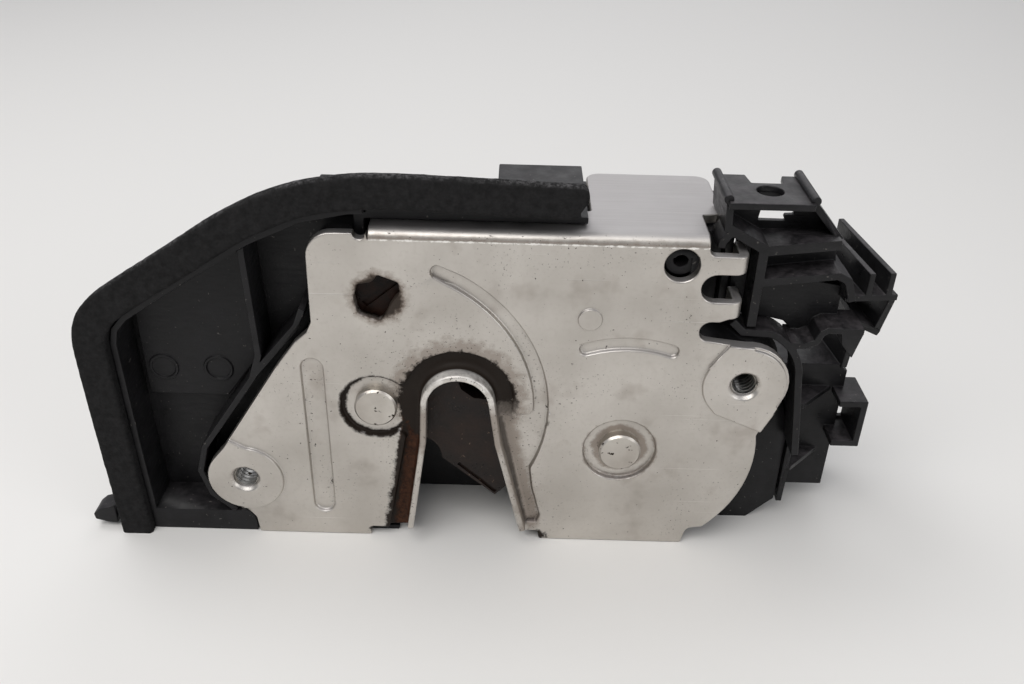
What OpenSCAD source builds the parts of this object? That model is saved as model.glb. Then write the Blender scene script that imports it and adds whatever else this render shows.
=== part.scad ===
// Car side door lock, standing on its lower edge with the latch open.
// X runs to the right along the lock plate, Y runs back into the door, Z is up.
// The origin is the centre of the latched striker on the front face of the lock plate.

/* [Lock plate] */
// Sheet thickness of the lock plate
plate_t = 2; // [1.8:0.1:2.2]
// Height of the striker seat above the lower edge
seat_h = 33.5; // [33:0.5:36]
// Height of the top flange's upper face above the striker seat
top_h = 39.4; // [39:0.2:42]
// Depth of the top flange, front face to back edge
flange_depth = 31; // [29:0.5:31]
// Distance of the plate's upper left edge from the striker seat
plate_left = 28; // [26:0.5:30]
// Depth of the drawn recesses in the front face
recess_d = 1.2; // [0.8:0.1:1.3]
// Height of the raised pads around the tapped holes
pad_h = 0.7; // [0.4:0.1:1]
// Radius of the left lobe
lobe_left_r = 7.9; // [7.5:0.1:8.4]
// Radius of the right lobe
lobe_right_r = 8.8; // [8.4:0.1:9.2]
// Minor radius of the tapped holes
thread_r = 2.55; // [2.1:0.05:3.4]
// Radius of the lead-in at the tapped holes
thread_lead_r = 3.3; // [3:0.1:4]
// Radius of the tapped collars behind the plate
collar_r = 4.4; // [4:0.1:4.8]
// How far the tapped collars stand behind the plate
collar_len = 5.5; // [4:0.5:6.5]

/* [Striker mouth] */
// Inner radius of the mouth's arch
mouth_r = 6.1; // [5.7:0.1:6.4]
// Height of the arch's centre above the striker seat
arch_h = 2.8; // [2:0.1:3.2]
// Height of the drawn rim in front of the plate
rim_h = 3; // [2:0.5:4]
// Wall of the drawn rim
rim_t = 1.3; // [1:0.1:1.5]
// Fillet at the root of the rim
rim_fillet = 1.3; // [1:0.1:1.5]
// Room between the rim and the walls of the striker well
well_gap = 3; // [2.5:0.1:3.5]

/* [Catch and pawl] */
// Distance of the catch's axis to the left of the striker seat
catch_reach = 16.6; // [16.2:0.1:17]
// Height of the catch's axis above the striker seat
catch_up = 0.4; // [0:0.1:0.8]
// Outer radius of the catch
catch_r = 34.6; // [34:0.1:35]
// Turn of the catch from open to latched
catch_turn = 62; // [58:1:64]
// Thickness of the catch's steel core
catch_core_t = 4; // [3.6:0.1:4.4]
// Plastic over each face of the catch and the pawl
cover_t = 0.6; // [0.4:0.1:0.7]
// Distance of the pawl's axis to the right of the striker seat
pawl_reach = 33.1; // [32.8:0.1:33.6]
// Depth of the pawl's axis below the striker seat
pawl_down = 8.9; // [8.5:0.1:9.3]
// Turn of the pawl from released to engaged
pawl_turn = 14; // [12:0.5:15]
// Radius of the rivet heads
head_r = 4.3; // [4:0.1:4.6]
// Radius of the rivet shanks that the catch and pawl turn on
shank_r = 4; // [3.5:0.1:4.3]
// Running clearance of every pivot
pivot_gap = 0.06; // [0.03:0.01:0.09]

/* [Housing] */
// Depth of the housing floor's front face
floor_y = 9.4; // [9.4:0.1:10.4]
// Thickness of the housing floor
floor_t = 1.8; // [1.5:0.1:2.2]
// Wall of the housing
wall = 1.8; // [1.5:0.1:2.2]
// Depth of the housing's back edge
back_y = 31; // [30:0.5:33]
// Depth of the rear cover's raised back
cover_back_y = 40; // [39:0.5:44]
// Wall of the rear cover
cover_wall = 2; // [1.6:0.1:2.4]
// Wall of the wing and its ribs
rib_t = 1.3; // [1.1:0.1:1.6]

/* [Seal] */
// Width of the foam seal
seal_w = 6.6; // [6:0.2:8]
// How far the seal stands in front of the plate
seal_front = 1.7; // [1:0.1:3]
// Depth of the seal's back face
seal_back = 3.5; // [3:0.1:5]

/* [End bracket] */
// Height of the cable clip's upper face above the striker seat
clip_h = 45.9; // [45:0.1:50]
// Width of the cable clip
clip_w = 15.6; // [14:0.2:16]
// Radius of the clip's round hole
clip_hole_r = 2.5; // [2:0.1:3]
// Wall of the bracket
web = 1.3; // [1.1:0.1:1.5]
// Depth of the bracket's front edges
bracket_front = 2.2; // [2.2:0.1:2.8]
// Depth of the fins' back ends
fin_back = 32; // [28:1:36]
// Height of the fins
fin_h = 4.6; // [4:0.2:6]

/* [Levers] */
// Thickness of the steel levers
lever_t = 2; // [1.6:0.1:2.2]
// Space between neighbouring levers
lever_gap = 0.6; // [0.4:0.1:0.8]
// Radius of the lever pin
lever_pin_r = 3; // [2.5:0.1:3.5]
// Width of the lever arms
arm_w = 7; // [6:0.5:8]

/* [Drive] */
// Radius of the lock motor
motor_r = 8; // [7.5:0.1:8.2]
// Length of the lock motor
motor_len = 20.4; // [18:0.2:20.4]
// Outer radius of the worm
worm_r = 3.4; // [3:0.1:3.8]
// Outer radius of the worm wheel
wheel_r = 12.2; // [11.5:0.1:12.6]
// Teeth on the worm wheel
wheel_teeth = 30; // [24:1:36]
// Gap between the worm and the wheel
mesh_gap = 0.3; // [0.2:0.05:0.5]

/* [Hidden] */
$fn = 64;

steel = [0.74, 0.74, 0.72];
dark_steel = [0.45, 0.45, 0.46];
black = [0.09, 0.09, 0.1];
foot_z = -seat_h;
edge_z = top_h - 0.9;
bend_r = plate_t + 0.2;
bend_z = top_h - bend_r;
catch_at = [-catch_reach, catch_up];
pawl_at = [pawl_reach, -pawl_down];
thread_left = [-44.9, -18.5];
thread_right = [56.3, 8.1];
locator_at = [41.3, bend_z - 3.5];
arch_at = [0, arch_h];

// Leaning sides of the mouth: angle from upright of the upper and the lower stretch
lean_right = [8, 13.7];
lean_left = [2, 8];
mouth_break_z = -6.2;
mouth_end_z = foot_z + 4.4;

// Depths of the layers behind the plate
catch_cover_t = catch_core_t + 2 * cover_t;
catch_y = (plate_t + recess_d + floor_y - catch_cover_t) / 2;
core_y = catch_y + cover_t;
floor_back = floor_y + floor_t;
bearing_t = 1.5;
bearing_back = floor_back + bearing_t;
rivet_tail_y = bearing_back + 1.3;
neck_r = shank_r - 0.5;
pin_r = 2;
seat_gap = 0.02;
release_y = rivet_tail_y + 1;
outside_y = release_y + lever_t + lever_gap;
inside_y = outside_y + lever_t + lever_gap;
well_back = 17.5;
well_wall = 1.5;

// Outer line of the wing, which is also the inner line of the foam seal
crown_z = top_h + 3.2;
wing_line = [[21.3, crown_z], [0.5, crown_z + 0.7], [-12, crown_z + 1], [-20, crown_z + 0.6],
    [-29.2, crown_z - 1.4], [-39.1, crown_z - 6], [-49, crown_z - 12.5], [-58.9, crown_z - 19],
    [-64.6, 19.6], [-67, 16.8], [-67.8, 13.4], [-67.3, -12], [-66.6, foot_z]];
seal_end_x = 23;

function arc(c, r, a0, a1, n = 12) =
    [for (i = [0:n]) let (a = a0 + (a1 - a0) * i / n) c + r * [cos(a), sin(a)]];
function polar(c, r, a) = c + r * [cos(a), sin(a)];

// Extrudes a front view outline from depth y0 over t
module slab(y0, t) {
    translate([0, y0 + t, 0]) rotate([90, 0, 0]) linear_extrude(t) children();
}
// Round bar along Y
module rod(at, y0, y1, r) {
    translate([at[0], y0, at[1]]) rotate([-90, 0, 0]) cylinder(h = y1 - y0, r = r);
}
// Cone along Y
module cone(at, y0, y1, r0, r1) {
    translate([at[0], y0, at[1]]) rotate([-90, 0, 0]) cylinder(h = y1 - y0, r1 = r0, r2 = r1);
}
// Disc in a front view outline
module disc(at, r) {
    translate(at) circle(r);
}
// Band of width t along a chain of points, with mitred corners
function normal(a, b) = [a[1] - b[1], b[0] - a[0]] / norm(b - a);
function edge_line(p, h) = [for (i = [0:len(p) - 1]) let (
    n0 = i > 0 ? normal(p[i - 1], p[i]) : normal(p[0], p[1]),
    n1 = i < len(p) - 1 ? normal(p[i], p[i + 1]) : n0) p[i] + h * (n0 + n1) / (1 + n0 * n1)];
function reversed(p) = [for (i = [len(p) - 1:-1:0]) p[i]];
module strip(p, t) {
    polygon(concat(edge_line(p, -t / 2), reversed(edge_line(p, t / 2))));
}
// Box given by two corners
module block(a, b) {
    translate(a) cube(b - a);
}

// Mouth of the plate, seen from the front
mouth_r0 = polar(arch_at, mouth_r, lean_right[0]);
mouth_r1 = mouth_r0 + (mouth_r0[1] - mouth_break_z) * [tan(lean_right[0]), -1];
mouth_r2 = mouth_r1 + (mouth_break_z - mouth_end_z) * [tan(lean_right[1]), -1];
mouth_l0 = polar(arch_at, mouth_r, 180 - lean_left[0]);
mouth_l1 = mouth_l0 + (mouth_l0[1] - mouth_break_z) * [-tan(lean_left[0]), -1];
mouth_l2 = mouth_l1 + (mouth_break_z - mouth_end_z) * [-tan(lean_left[1]), -1];

module mouth_2d(grow = 0, down = 8) {
    offset(r = grow) polygon(concat(
        arc(arch_at, mouth_r, lean_right[0], 180 - lean_left[0], 24),
        [mouth_l1, mouth_l2 - [down * tan(lean_left[1]), down],
         mouth_r2 + [down * tan(lean_right[1]), -down], mouth_r1]));
}

// Hole in the plate under the rim's foot
module rim_hole_2d() {
    lap = rim_t + rim_fillet + 0.3;
    disc(arch_at, mouth_r + lap);
    intersection() {
        offset(delta = lap + 0.1) polygon([
            mouth_l0 + [6 * tan(lean_left[0]), 6], mouth_l1, mouth_l2 - [20 * tan(lean_left[1]), 20],
            mouth_r2 + [20 * tan(lean_right[1]), -20], mouth_r1, mouth_r0 + [-6 * tan(lean_right[0]), 6]]);
        translate([-50, arch_h + 1 - 100]) square([100, 100]);
    }
}

// Section of the drawn rim: x runs outwards from the mouth, y is depth
module rim_section() {
    root = rim_t + rim_fillet;
    lap = 0.6;
    polygon(concat(
        [[0, -rim_h], [rim_t - 0.3, -rim_h], [rim_t, -rim_h + 0.3]],
        [for (i = [0:6]) [root - rim_fillet * cos(i * 15), recess_d - rim_fillet + rim_fillet * sin(i * 15)]],
        [[root + lap, recess_d], [root + lap, recess_d + plate_t]],
        [for (i = [0:6]) [root * (1 - sin(i * 15)), recess_d - rim_fillet + (rim_fillet + plate_t) * cos(i * 15)]]));
}
module rim_leg(top, bottom) {
    d = top - bottom;
    translate([bottom[0], 0, bottom[1]]) rotate([0, atan2(d[0], d[1]), 0])
        linear_extrude(norm(d)) rim_section();
}
module rim() {
    translate([arch_at[0], 0, arch_at[1]]) rotate([90, 0, 0]) rotate([0, 0, lean_right[0]])
        rotate_extrude(angle = 180 - lean_left[0] - lean_right[0])
            mirror([0, 1]) translate([mouth_r, 0]) rim_section();
    rim_leg(mouth_r0, mouth_r1);
    rim_leg(mouth_r1, mouth_r2);
    mirror([1, 0, 0]) {
        rim_leg([-mouth_l0[0], mouth_l0[1]], [-mouth_l1[0], mouth_l1[1]]);
        rim_leg([-mouth_l1[0], mouth_l1[1]], [-mouth_l2[0], mouth_l2[1]]);
    }
}

// Outline of the flat of the plate, without the side tabs' bent ends
tab_x = 51.3;
tab_out_x = tab_x + 2.4;
tabs_z = [[top_h - 7.5, top_h - 3.7], [22.6, 26.2]];
relief_x = -17.9;
flange_left_x = -16.4;
flange_right_x = 46;
module plate_2d(tabs = true) {
    x_l = -plate_left;
    polygon(concat(
        [[-43.5, foot_z], [-44, foot_z + 4.3]],
        arc(thread_left, lobe_left_r, 262, 140),
        [[x_l - 20.4, -10.3], [x_l - 7.8, 9.4], [x_l - 3.6, 15.2], [x_l - 1.2, 17.4], [x_l - 0.2, 19.6]],
        arc([x_l + 5, edge_z - 5], 5, 180, 90, 8),
        arc([relief_x, edge_z], 1.2, 180, 360, 8),
        [[flange_left_x, bend_z], [flange_right_x, bend_z], [flange_right_x + 0.2, edge_z - 2.1]],
        tabs ? [[flange_right_x + 1, tabs_z[0][1]], [tab_x, tabs_z[0][1]], [tab_x, tabs_z[0][0]]] : [],
        tabs ? arc([48.2, (tabs_z[0][0] + tabs_z[1][1]) / 2], (tabs_z[0][0] - tabs_z[1][1]) / 2, 90, 270)
             : [[flange_right_x, 20]],
        tabs ? [[tab_x, tabs_z[1][1]], [tab_x, tabs_z[1][0]], [49.6, 21.9]] : [],
        tabs ? arc([48.2, 19.8], 2.1, 90, 270) : [],
        [[52.4, 17.2]],
        arc(thread_right, lobe_right_r, 95, -25),
        [[62.9, 1], [61.4, -2.3]],
        arc(pawl_at, 27.9, 10, -46),
        [[50, -29.3], [49.1, -30], [48.4, foot_z], [17.4, foot_z], [16.9, foot_z + 2.2],
         [-19.1, foot_z + 2.2], [-19.1, foot_z]]));
}
// All that is drawn down around the mouth and the catch rivet
band_r = [31.7, 34.6];
module recess_2d() {
    offset(r = -1.6) offset(delta = 1.6) {
        disc(arch_at, 11);
        disc(catch_at, 7.1);
        polygon([[-6, -2], [-9, -4], [-11, -8], [-15.1, foot_z + 2.2], [-8, foot_z + 2.2], [-5, -2]]);
        polygon(concat([[4, -0.6], [catch_at[0] + band_r[1], -0.6]],
            arc(catch_at, band_r[1], -2, -25, 6),
            [[15.4, -19.5], [17.3, -27], [16.6, -28.8], [12, -28.8], [5, -20]]));
        polygon(concat(arc(catch_at, band_r[0], 67, -4, 20), arc(catch_at, band_r[1], -4, 67, 20)));
        disc(polar(catch_at, (band_r[0] + band_r[1]) / 2, 67), (band_r[1] - band_r[0]) / 2);
    }
}
module smile_2d() {
    r = [24.2, 26.8];
    polygon(concat(arc(pawl_at, r[0], 71, 109, 12), arc(pawl_at, r[1], 109, 71, 12)));
    for (a = [71, 109]) disc(polar(pawl_at, (r[0] + r[1]) / 2, a), (r[1] - r[0]) / 2);
}
bead_at = [-28.8, -26];
module bead_2d() {
    disc(bead_at + [0, 1], 2.2);
    disc(bead_at + [0, 35.2], 2.2);
    translate(bead_at + [-2.2, 1]) square([4.4, 34.2]);
}
module pads_2d() {
    disc(thread_left, lobe_left_r + 0.1);
    polygon([[-50.9, -13.4], [-47.4, -8.6], [-38.8, -13.6], [-38.2, -17], [-45, -20]]);
    disc(thread_right, lobe_right_r - 0.6);
    polygon([[49.2, 4], [51.2, 1.3], [61.6, -3.2], [63.6, 3], [56, 12]]);
    polygon([[48.8, 12], [52.4, 17.4], [57, 17.2], [58, 8]]);
}
// Torn opening at the upper left
module torn_2d() {
    translate(dial_at) polygon([[-3.9, 2.8], [-1.6, 3.2], [-0.7, 3.7], [0, 4.9], [3.9, 3.4], [4.1, 1],
        [3, -0.2], [2, -1.8], [1.4, -3.3], [0.2, -4.9], [-1.2, -4.4], [-4, -3.4], [-4.6, 0]]);
}
module tapped_collar(at) {
    rod(at, -pad_h, plate_t + collar_len, collar_r);
}
module tapped_bore(at) {
    rod(at, -pad_h - 1, plate_t + collar_len + 1, thread_r);
    cone(at, -pad_h - 0.01, -pad_h + thread_lead_r - thread_r, thread_lead_r, thread_r);
}
module top_flange() {
    translate([flange_left_x, 0, 0]) rotate([90, 0, 90]) linear_extrude(flange_right_x - flange_left_x)
        polygon(concat(arc([bend_r, bend_z], bend_r, 180, 90, 8), [[bend_r + 9, top_h], [bend_r + 9, top_h - plate_t]],
            arc([bend_r, bend_z], bend_r - plate_t, 90, 180, 4)));
    translate([0, 0, top_h - plate_t]) linear_extrude(plate_t)
        polygon(concat([[24.7, bend_r]], arc([27.7, flange_depth - 3], 3, 180, 90, 8),
            arc([46.9, flange_depth - 3], 3, 90, 0, 8), [[49.9, 12], [49, 11.2], [flange_right_x, 10.6],
            [flange_right_x, bend_r]]));
}
module side_tab(z) {
    r = 2.4;
    translate([0, 0, z[0]]) linear_extrude(z[1] - z[0])
        polygon(concat([[tab_x - 0.1, 0]], arc([tab_x, r], r, -90, 0, 8), [[tab_out_x, 7.4], [tab_out_x - plate_t, 7.4]],
            arc([tab_x, r], r - plate_t, 0, -90, 4), [[tab_x - 0.1, plate_t]]));
}
module lock_plate() color(steel) difference() {
    union() {
        difference() {
            union() {
                slab(0, plate_t) plate_2d();
                slab(-pad_h, plate_t + pad_h) intersection() { pads_2d(); plate_2d(); }
                slab(plate_t - 0.1, recess_d + 0.1) intersection() {
                    embossed_2d(0.7);
                    plate_2d();
                }
            }
            slab(-0.01, recess_d + 0.01) recess_2d();
            slab(-0.01, recess_d + 0.01) disc(pawl_at, 7.5);
            slab(-0.01, recess_d - 0.3) { bead_2d(); smile_2d(); }
            // the rim stands in this hole, and below its legs the drawn floor runs on to the mouth
            slab(-1, plate_t + recess_d + 2) {
                intersection() {
                    rim_hole_2d();
                    translate([-50, mouth_end_z + 1]) square([100, 60]);
                }
                mouth_2d();
            }
        }
        rim();
        slab(-0.5, 0.6) disc([25.1, 22], 2.3);
        top_flange();
        for (z = tabs_z) side_tab(z);
        tapped_collar(thread_left);
        tapped_collar(thread_right);
    }
    tapped_bore(thread_left);
    tapped_bore(thread_right);
    rod(locator_at, -1, plate_t + 1, 3.3);
    slab(-1, plate_t + 2) torn_2d();
    rod(catch_at, -1, plate_t + recess_d + 1, neck_r + seat_gap);
    rod(pawl_at, -1, plate_t + recess_d + 1, neck_r + seat_gap);
}

module bearing_rivet(at, lift) {
    cone(at, -lift, -lift + 0.4, head_r - 0.4, head_r);
    rod(at, -lift + 0.4, recess_d, head_r);
    rod(at, recess_d - 0.1, rivet_tail_y - 0.4, neck_r);
    rod(at, plate_t + recess_d, floor_y, shank_r);
    rod(at, bearing_back, rivet_tail_y - 0.4, head_r);
    cone(at, rivet_tail_y - 0.4, rivet_tail_y, head_r, head_r - 0.4);
}
module catch_rivet() color(steel) bearing_rivet(catch_at, 0.6);
module pawl_rivet() color(steel) bearing_rivet(pawl_at, 0.9);

// Catch, drawn latched with its axis at the origin and then turned open
seat_local = -catch_at;
catch_mouth_r = 5.4;
arm_from = 16.2;
arm_to = 60;
module catch_2d(r_out, hub) {
    s = seat_local;
    up = 60;
    down = 238;
    polygon(concat(
        arc(s, catch_mouth_r, up, down, 16),
        [s + catch_mouth_r * [cos(down), sin(down)] + 12 * [cos(down + 90), sin(down + 90)]],
        arc([0, 0], r_out - 8.2, -26, -58, 10),
        arc([0, 0], hub, -76, -225, 16),
        arc([0, 0], hub + 5.3, -242, -282, 5),
        [polar([0, 0], hub + 5.6, 70), polar([0, 0], hub + 8, arm_to + 3)],
        arc([0, 0], r_out, arm_to, 38, 10),
        [polar([0, 0], r_out - 3.4, 37.5)],
        [polar([0, 0], r_out - 3.4, 32), polar([0, 0], r_out, 29)],
        arc([0, 0], r_out, 28, arm_from, 8)));
}
module open_catch(y0, t) {
    translate([catch_at[0], 0, catch_at[1]]) rotate([0, catch_turn, 0]) slab(y0, t) children();
}
module catch_core() color(dark_steel) difference() {
    open_catch(core_y, catch_core_t) offset(delta = -1.1) catch_2d(catch_r, 11.5);
    rod(catch_at, core_y - 1, core_y + catch_core_t + 1, shank_r + pivot_gap);
}
module catch_cover() color([0.16, 0.13, 0.12]) difference() {
    open_catch(catch_y, catch_cover_t) catch_2d(catch_r, 11.5);
    open_catch(core_y, catch_core_t) offset(delta = -1.1) catch_2d(catch_r, 11.5);
    rod(catch_at, catch_y - 1, catch_y + catch_cover_t + 1, shank_r + pivot_gap);
    // damping slit along the arm's loaded edge
    open_catch(catch_y - 1, cover_t + 0.99) {
        strip([[22.2, 6.6], [27.6, 8.6], [32.6, 10.2]], 0.8);
    }
}

// Pawl, drawn engaged with its axis at the origin and then turned away
tip_local = [-17.6, 18.2];
lug_r = 13;
lug_angle = 70;
module pawl_2d() {
    edge = 14;
    disc([0, 0], 8);
    polygon([tip_local + [-1.2, -0.3], tip_local + [3.4, 0.85], tip_local + [7.6, -0.5], [5.6, 5.6],
        [-4, -6.9], tip_local + [3.4, -10.4], tip_local + [-0.9, -4.6]]);
    polygon([[-7, 3], polar([0, 0], lug_r + 3, lug_angle + edge + 8), polar([0, 0], lug_r + 3, lug_angle + edge - 14), [8, 0]]);
}
module released_pawl(y0, t) {
    translate([pawl_at[0], 0, pawl_at[1]]) rotate([0, pawl_turn, 0]) slab(y0, t) children();
}
lug_at = polar(pawl_at, lug_r, lug_angle);
module pawl_core() color(dark_steel) difference() {
    released_pawl(core_y, catch_core_t) offset(delta = -1.1) pawl_2d();
    rod(pawl_at, core_y - 1, core_y + catch_core_t + 1, shank_r + pivot_gap);
}
module pawl_cover() color(black) difference() {
    union() {
        released_pawl(catch_y, catch_cover_t) pawl_2d();
        rod(lug_at, core_y + catch_core_t, release_y + lever_t + 0.2, 2);
    }
    released_pawl(core_y, catch_core_t) offset(delta = -1.1) pawl_2d();
    rod(pawl_at, catch_y - 1, catch_y + catch_cover_t + 1, shank_r + pivot_gap);
}
// Slot through which the pawl's lug reaches the release lever
module lug_slot_2d() {
    polygon(concat(arc(pawl_at, lug_r - 2.8, lug_angle - 14, lug_angle + pawl_turn + 14),
        arc(pawl_at, lug_r + 2.8, lug_angle + pawl_turn + 14, lug_angle - 14)));
}

module back_plate() color(steel) difference() {
    slab(floor_back, bearing_t) difference() {
        offset(r = 3) offset(delta = -3) polygon([[-23.6, -14.6], [-23.6, 8], [-17, 18.3], [14, 18.3], [22, 12.8], [44, 12.8],
            [46, 8], [46, -14.6]]);
        mouth_2d(well_gap + well_wall + 0.3, 20);
        disc(wheel_at, 4.4);
        lug_slot_2d();
    }
    for (at = [catch_at, pawl_at]) rod(at, floor_back - 1, bearing_back + 1, neck_r + seat_gap);
}

// Outlines of the housing
module wing_2d() {
    polygon(concat(wing_line, [[-46, foot_z], [-30, 8], [21.3, 32]]));
}
module body_2d() {
    polygon(concat(
        [[-46, foot_z], [-46, -6], [-32, 20], [-31, bend_z - 0.5], [50, bend_z - 0.5], [50, 17.6]],
        arc(thread_right, 8.6, 75, -12, 8),
        [[69.9, -8.7], [69.9, -28], [64.4, foot_z]]));
}
rear_pts = [[-31, bend_z - 0.5], [50, bend_z - 0.5], [50, 14], [62, 8], [69.9, -8.7], [69.9, -28],
    [64.4, foot_z], [21, foot_z], [21, -17], [-31, -17]];
module rear_2d(inset = 0) {
    offset(delta = -inset) polygon(rear_pts);
}
// Screws of the rear cover, levers and drive
screw_top_z = top_h - 6.4;
screw_foot_z = foot_z + 4;
screw_at = [[-27, screw_top_z], [-27, -13], [14, screw_top_z], [46, screw_top_z], [66, -11],
    [25, screw_foot_z], [62, screw_foot_z]];
screw_r = 1.25;
pilot_r = screw_r + 0.03;
lever_at = [40, top_h - 15.4];
wheel_at = [8, top_h - 31.4];
lock_at = wheel_at + [22, 9];
worm_axis_z = wheel_at[1] + wheel_r + mesh_gap + worm_r;
wheel_y = 23;
wheel_t = 5;
drive_y = wheel_y + wheel_t / 2;
motor_x0 = -22.4;
arm_slot_z = [lever_at[1] - 7.6, lever_at[1] + 6.2];
dial_at = [-15, top_h - 14.2];

module wing_tray() {
    // perimeter wall, cut back under the metal flange
    difference() {
        slab(0.4, floor_back - 0.4) difference() {
            wing_2d();
            offset(delta = -rib_t) wing_2d();
            polygon([[-46, foot_z - 1], [-46, -16], [-31, 8], [-31, top_h - 3.4], [-19.6, top_h - 3.4], [-19.6, top_h + 0.3],
                [30, top_h + 0.3], [30, foot_z - 1]]);
        }
        block([flange_left_x - 0.6, -1, top_h - 1.4], [30, 4, 60]);
    }
    // rib beside the plate and the deeper cell's rib
    slab(0.5, floor_y) {
        strip([[-40, 35.5], [-39.2, 11.5], [-41, 6], [-52.8, -11.3], [-54.5, -17.6], [-52.8, -23.6],
            [-48.2, -28]], rib_t);
        strip([[-40.6, 7], [-31.2, 18.3], [-29.8, 22]], rib_t);
    }
    // channel along the bottom
    slab(0.4, rib_t) translate([-66.6, foot_z]) square([22.6, 5.5]);
    slab(0.4, floor_y) translate([-66.6, foot_z + 5.5 - rib_t]) square([20.4, rib_t]);
    slab(0.4, floor_y) translate([-66.6, foot_z]) square([22.6, rib_t]);
    slab(0.4, floor_y) translate([-45.3, foot_z]) square([rib_t, 5.5]);
    // raised panel with two plain rings
    slab(7.4, floor_y - 7) intersection() {
        offset(delta = -rib_t) wing_2d();
        polygon([[-64.8, -2.7], [-64.8, 50], [-41, 50], [-40.6, 12], [-42, 6], [-48.5, -2.7]]);
    }
    for (x = [-60.9, -49.7]) slab(7, 0.8) difference() {
        disc([x, 4], 3);
        disc([x, 4], 2.4);
    }
    // spur at the lower left corner
    slab(0.4, seal_back + 1.4) polygon([[-74.6, -27.8], [-78, -28.8], [-79.6, -30.2], [-79.4, -31.6],
        [-76.4, -32.5], [-74.6, -32.5]]);
}
module seal_mask() {
    polygon([[-90, foot_z], [-90, 70], [seal_end_x, 70], [seal_end_x, crown_z + 1.6],
        [seal_end_x - 1.8, crown_z - 0.2], [-20, 25], [-60, 0], [-60, foot_z]]);
}
module seal_wall() {
    slab(seal_back, 1.8) intersection() {
        difference() {
            offset(r = seal_w - 1) wing_2d();
            offset(delta = -0.5) wing_2d();
        }
        seal_mask();
    }
    slab(seal_back, 1.8) translate([-74.7, foot_z + 1]) square([6, 5]);
    // roof over the metal flange with the tab at its right
    web_z = top_h + 0.3;
    slab(4, 1.8) translate([flange_left_x - 0.6, web_z]) square([seal_end_x - flange_left_x, 3]);
    block([flange_left_x - 3, 4, web_z], [8, 14, web_z + rib_t]);
    block([6.8, 4, web_z], [23.8, 30.7, web_z + rib_t]);
    block([flange_left_x - 3, 4, bend_z - 2], [flange_left_x - 1, 14, web_z + 3]);
}
module embossed_2d(grow) {
    offset(delta = grow) {
        recess_2d();
        bead_2d();
        smile_2d();
    }
    disc(pawl_at, 7.5 + grow);
}
module mechanism_box() {
    // side walls between plate and floor
    slab(plate_t, floor_y - plate_t + 0.5) difference() {
        offset(delta = -1) plate_2d(false);
        offset(delta = -1 - wall) plate_2d(false);
        translate([-21, foot_z - 1]) square([40, 8]);
        disc(thread_right, collar_r + 0.5);
        disc(thread_left, collar_r + 0.5);
    }
    // bars under the plate's raised edge, beside the mouth
    slab(plate_t, floor_y - plate_t + 0.5) difference() {
        translate([-21, foot_z]) square([40, wall]);
        mouth_2d(well_gap, 20);
    }
    slab(floor_y, floor_t) difference() {
        union() {
            wing_2d();
            body_2d();
        }
        mouth_2d(well_gap, 20);
        lug_slot_2d();
        disc(thread_right, collar_r + 1);
        disc(thread_left, collar_r + 1);
        translate([flange_left_x, bend_z - 0.5]) square([60, 10]);
    }
    // locating boss behind the plain hole
    rod(locator_at, plate_t + 0.5, floor_y + 1, 3.1);
}
module striker_well() {
    slab(floor_y, well_back + well_wall - floor_y) intersection() {
        mouth_2d(well_gap + well_wall, 3);
        translate([-40, foot_z]) square([80, 80]);
    }
}
module rear_box() {
    slab(floor_back - 0.1, back_y - floor_back + 0.1) difference() {
        rear_2d();
        rear_2d(wall);
    }
    for (at = screw_at) rod(at, floor_back - 0.1, back_y, 3);
    rod(lever_at, floor_back - 0.1, release_y - 0.3, 6);
    rod(lock_at, floor_back - 0.1, lock_y - 0.3, 3.6);
    // motor cradle
    for (z = bracket_screw_z) block([45.6, bracket_screw_y - 2.5, z - 2.5], [49, bracket_screw_y + 2.5, z + 2.5]);
    for (x = [motor_x0 + 1, motor_x0 + motor_len - 5])
        block([x, floor_back - 0.1, worm_axis_z - 5], [x + 2, drive_y - 4, worm_axis_z + 6]);
    rod(wheel_at, floor_back - 0.1, well_back + well_wall, 4);
}
module housing() color(black) difference() {
    union() {
        wing_tray();
        seal_wall();
        mechanism_box();
        striker_well();
        rear_box();
    }
    slab(floor_y - 1, well_back - floor_y + 1) mouth_2d(well_gap, 20);
    slab(-1, plate_t + 1) offset(delta = 0.3) plate_2d();
    slab(plate_t - 1, recess_d + 1.3) embossed_2d(1.2);
    block([flange_left_x - 0.4, -1, bend_z - 0.4], [52, bend_r + 9.3, top_h + 0.1]);
    for (at = [catch_at, pawl_at]) rod(at, floor_y - 1, bearing_back + 1, shank_r + 0.2);
    for (at = screw_at) rod(at, floor_back + 6, back_y + 1, pilot_r);
    rod(locator_at, plate_t - 1, floor_y - 1, 1.35);
    rod(lever_at, floor_back + 1, release_y + 1, lever_pin_r + seat_gap);
    rod(lock_at, floor_back + 1, lock_y + 1, pin_r + seat_gap);
    rod(wheel_at, well_back + 0.5, well_back + 3, pin_r + seat_gap);
    rod(dial_at, floor_y - 1, floor_back + 1, 3.2);
    // bed of the motor in its cradle
    translate([motor_x0, drive_y, worm_axis_z]) rotate([0, 90, 0]) cylinder(h = motor_len, r = motor_r + 0.1);
    // slots for the lever arms, and pilot holes of the bracket's screws
    block([46.9, outside_y - 1, arm_slot_z[0]], [52, inside_y + lever_t + 1, arm_slot_z[1]]);
    for (z = bracket_screw_z) translate([46, bracket_screw_y, z]) rotate([0, 90, 0]) cylinder(h = 6, r = pilot_r);
}

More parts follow.
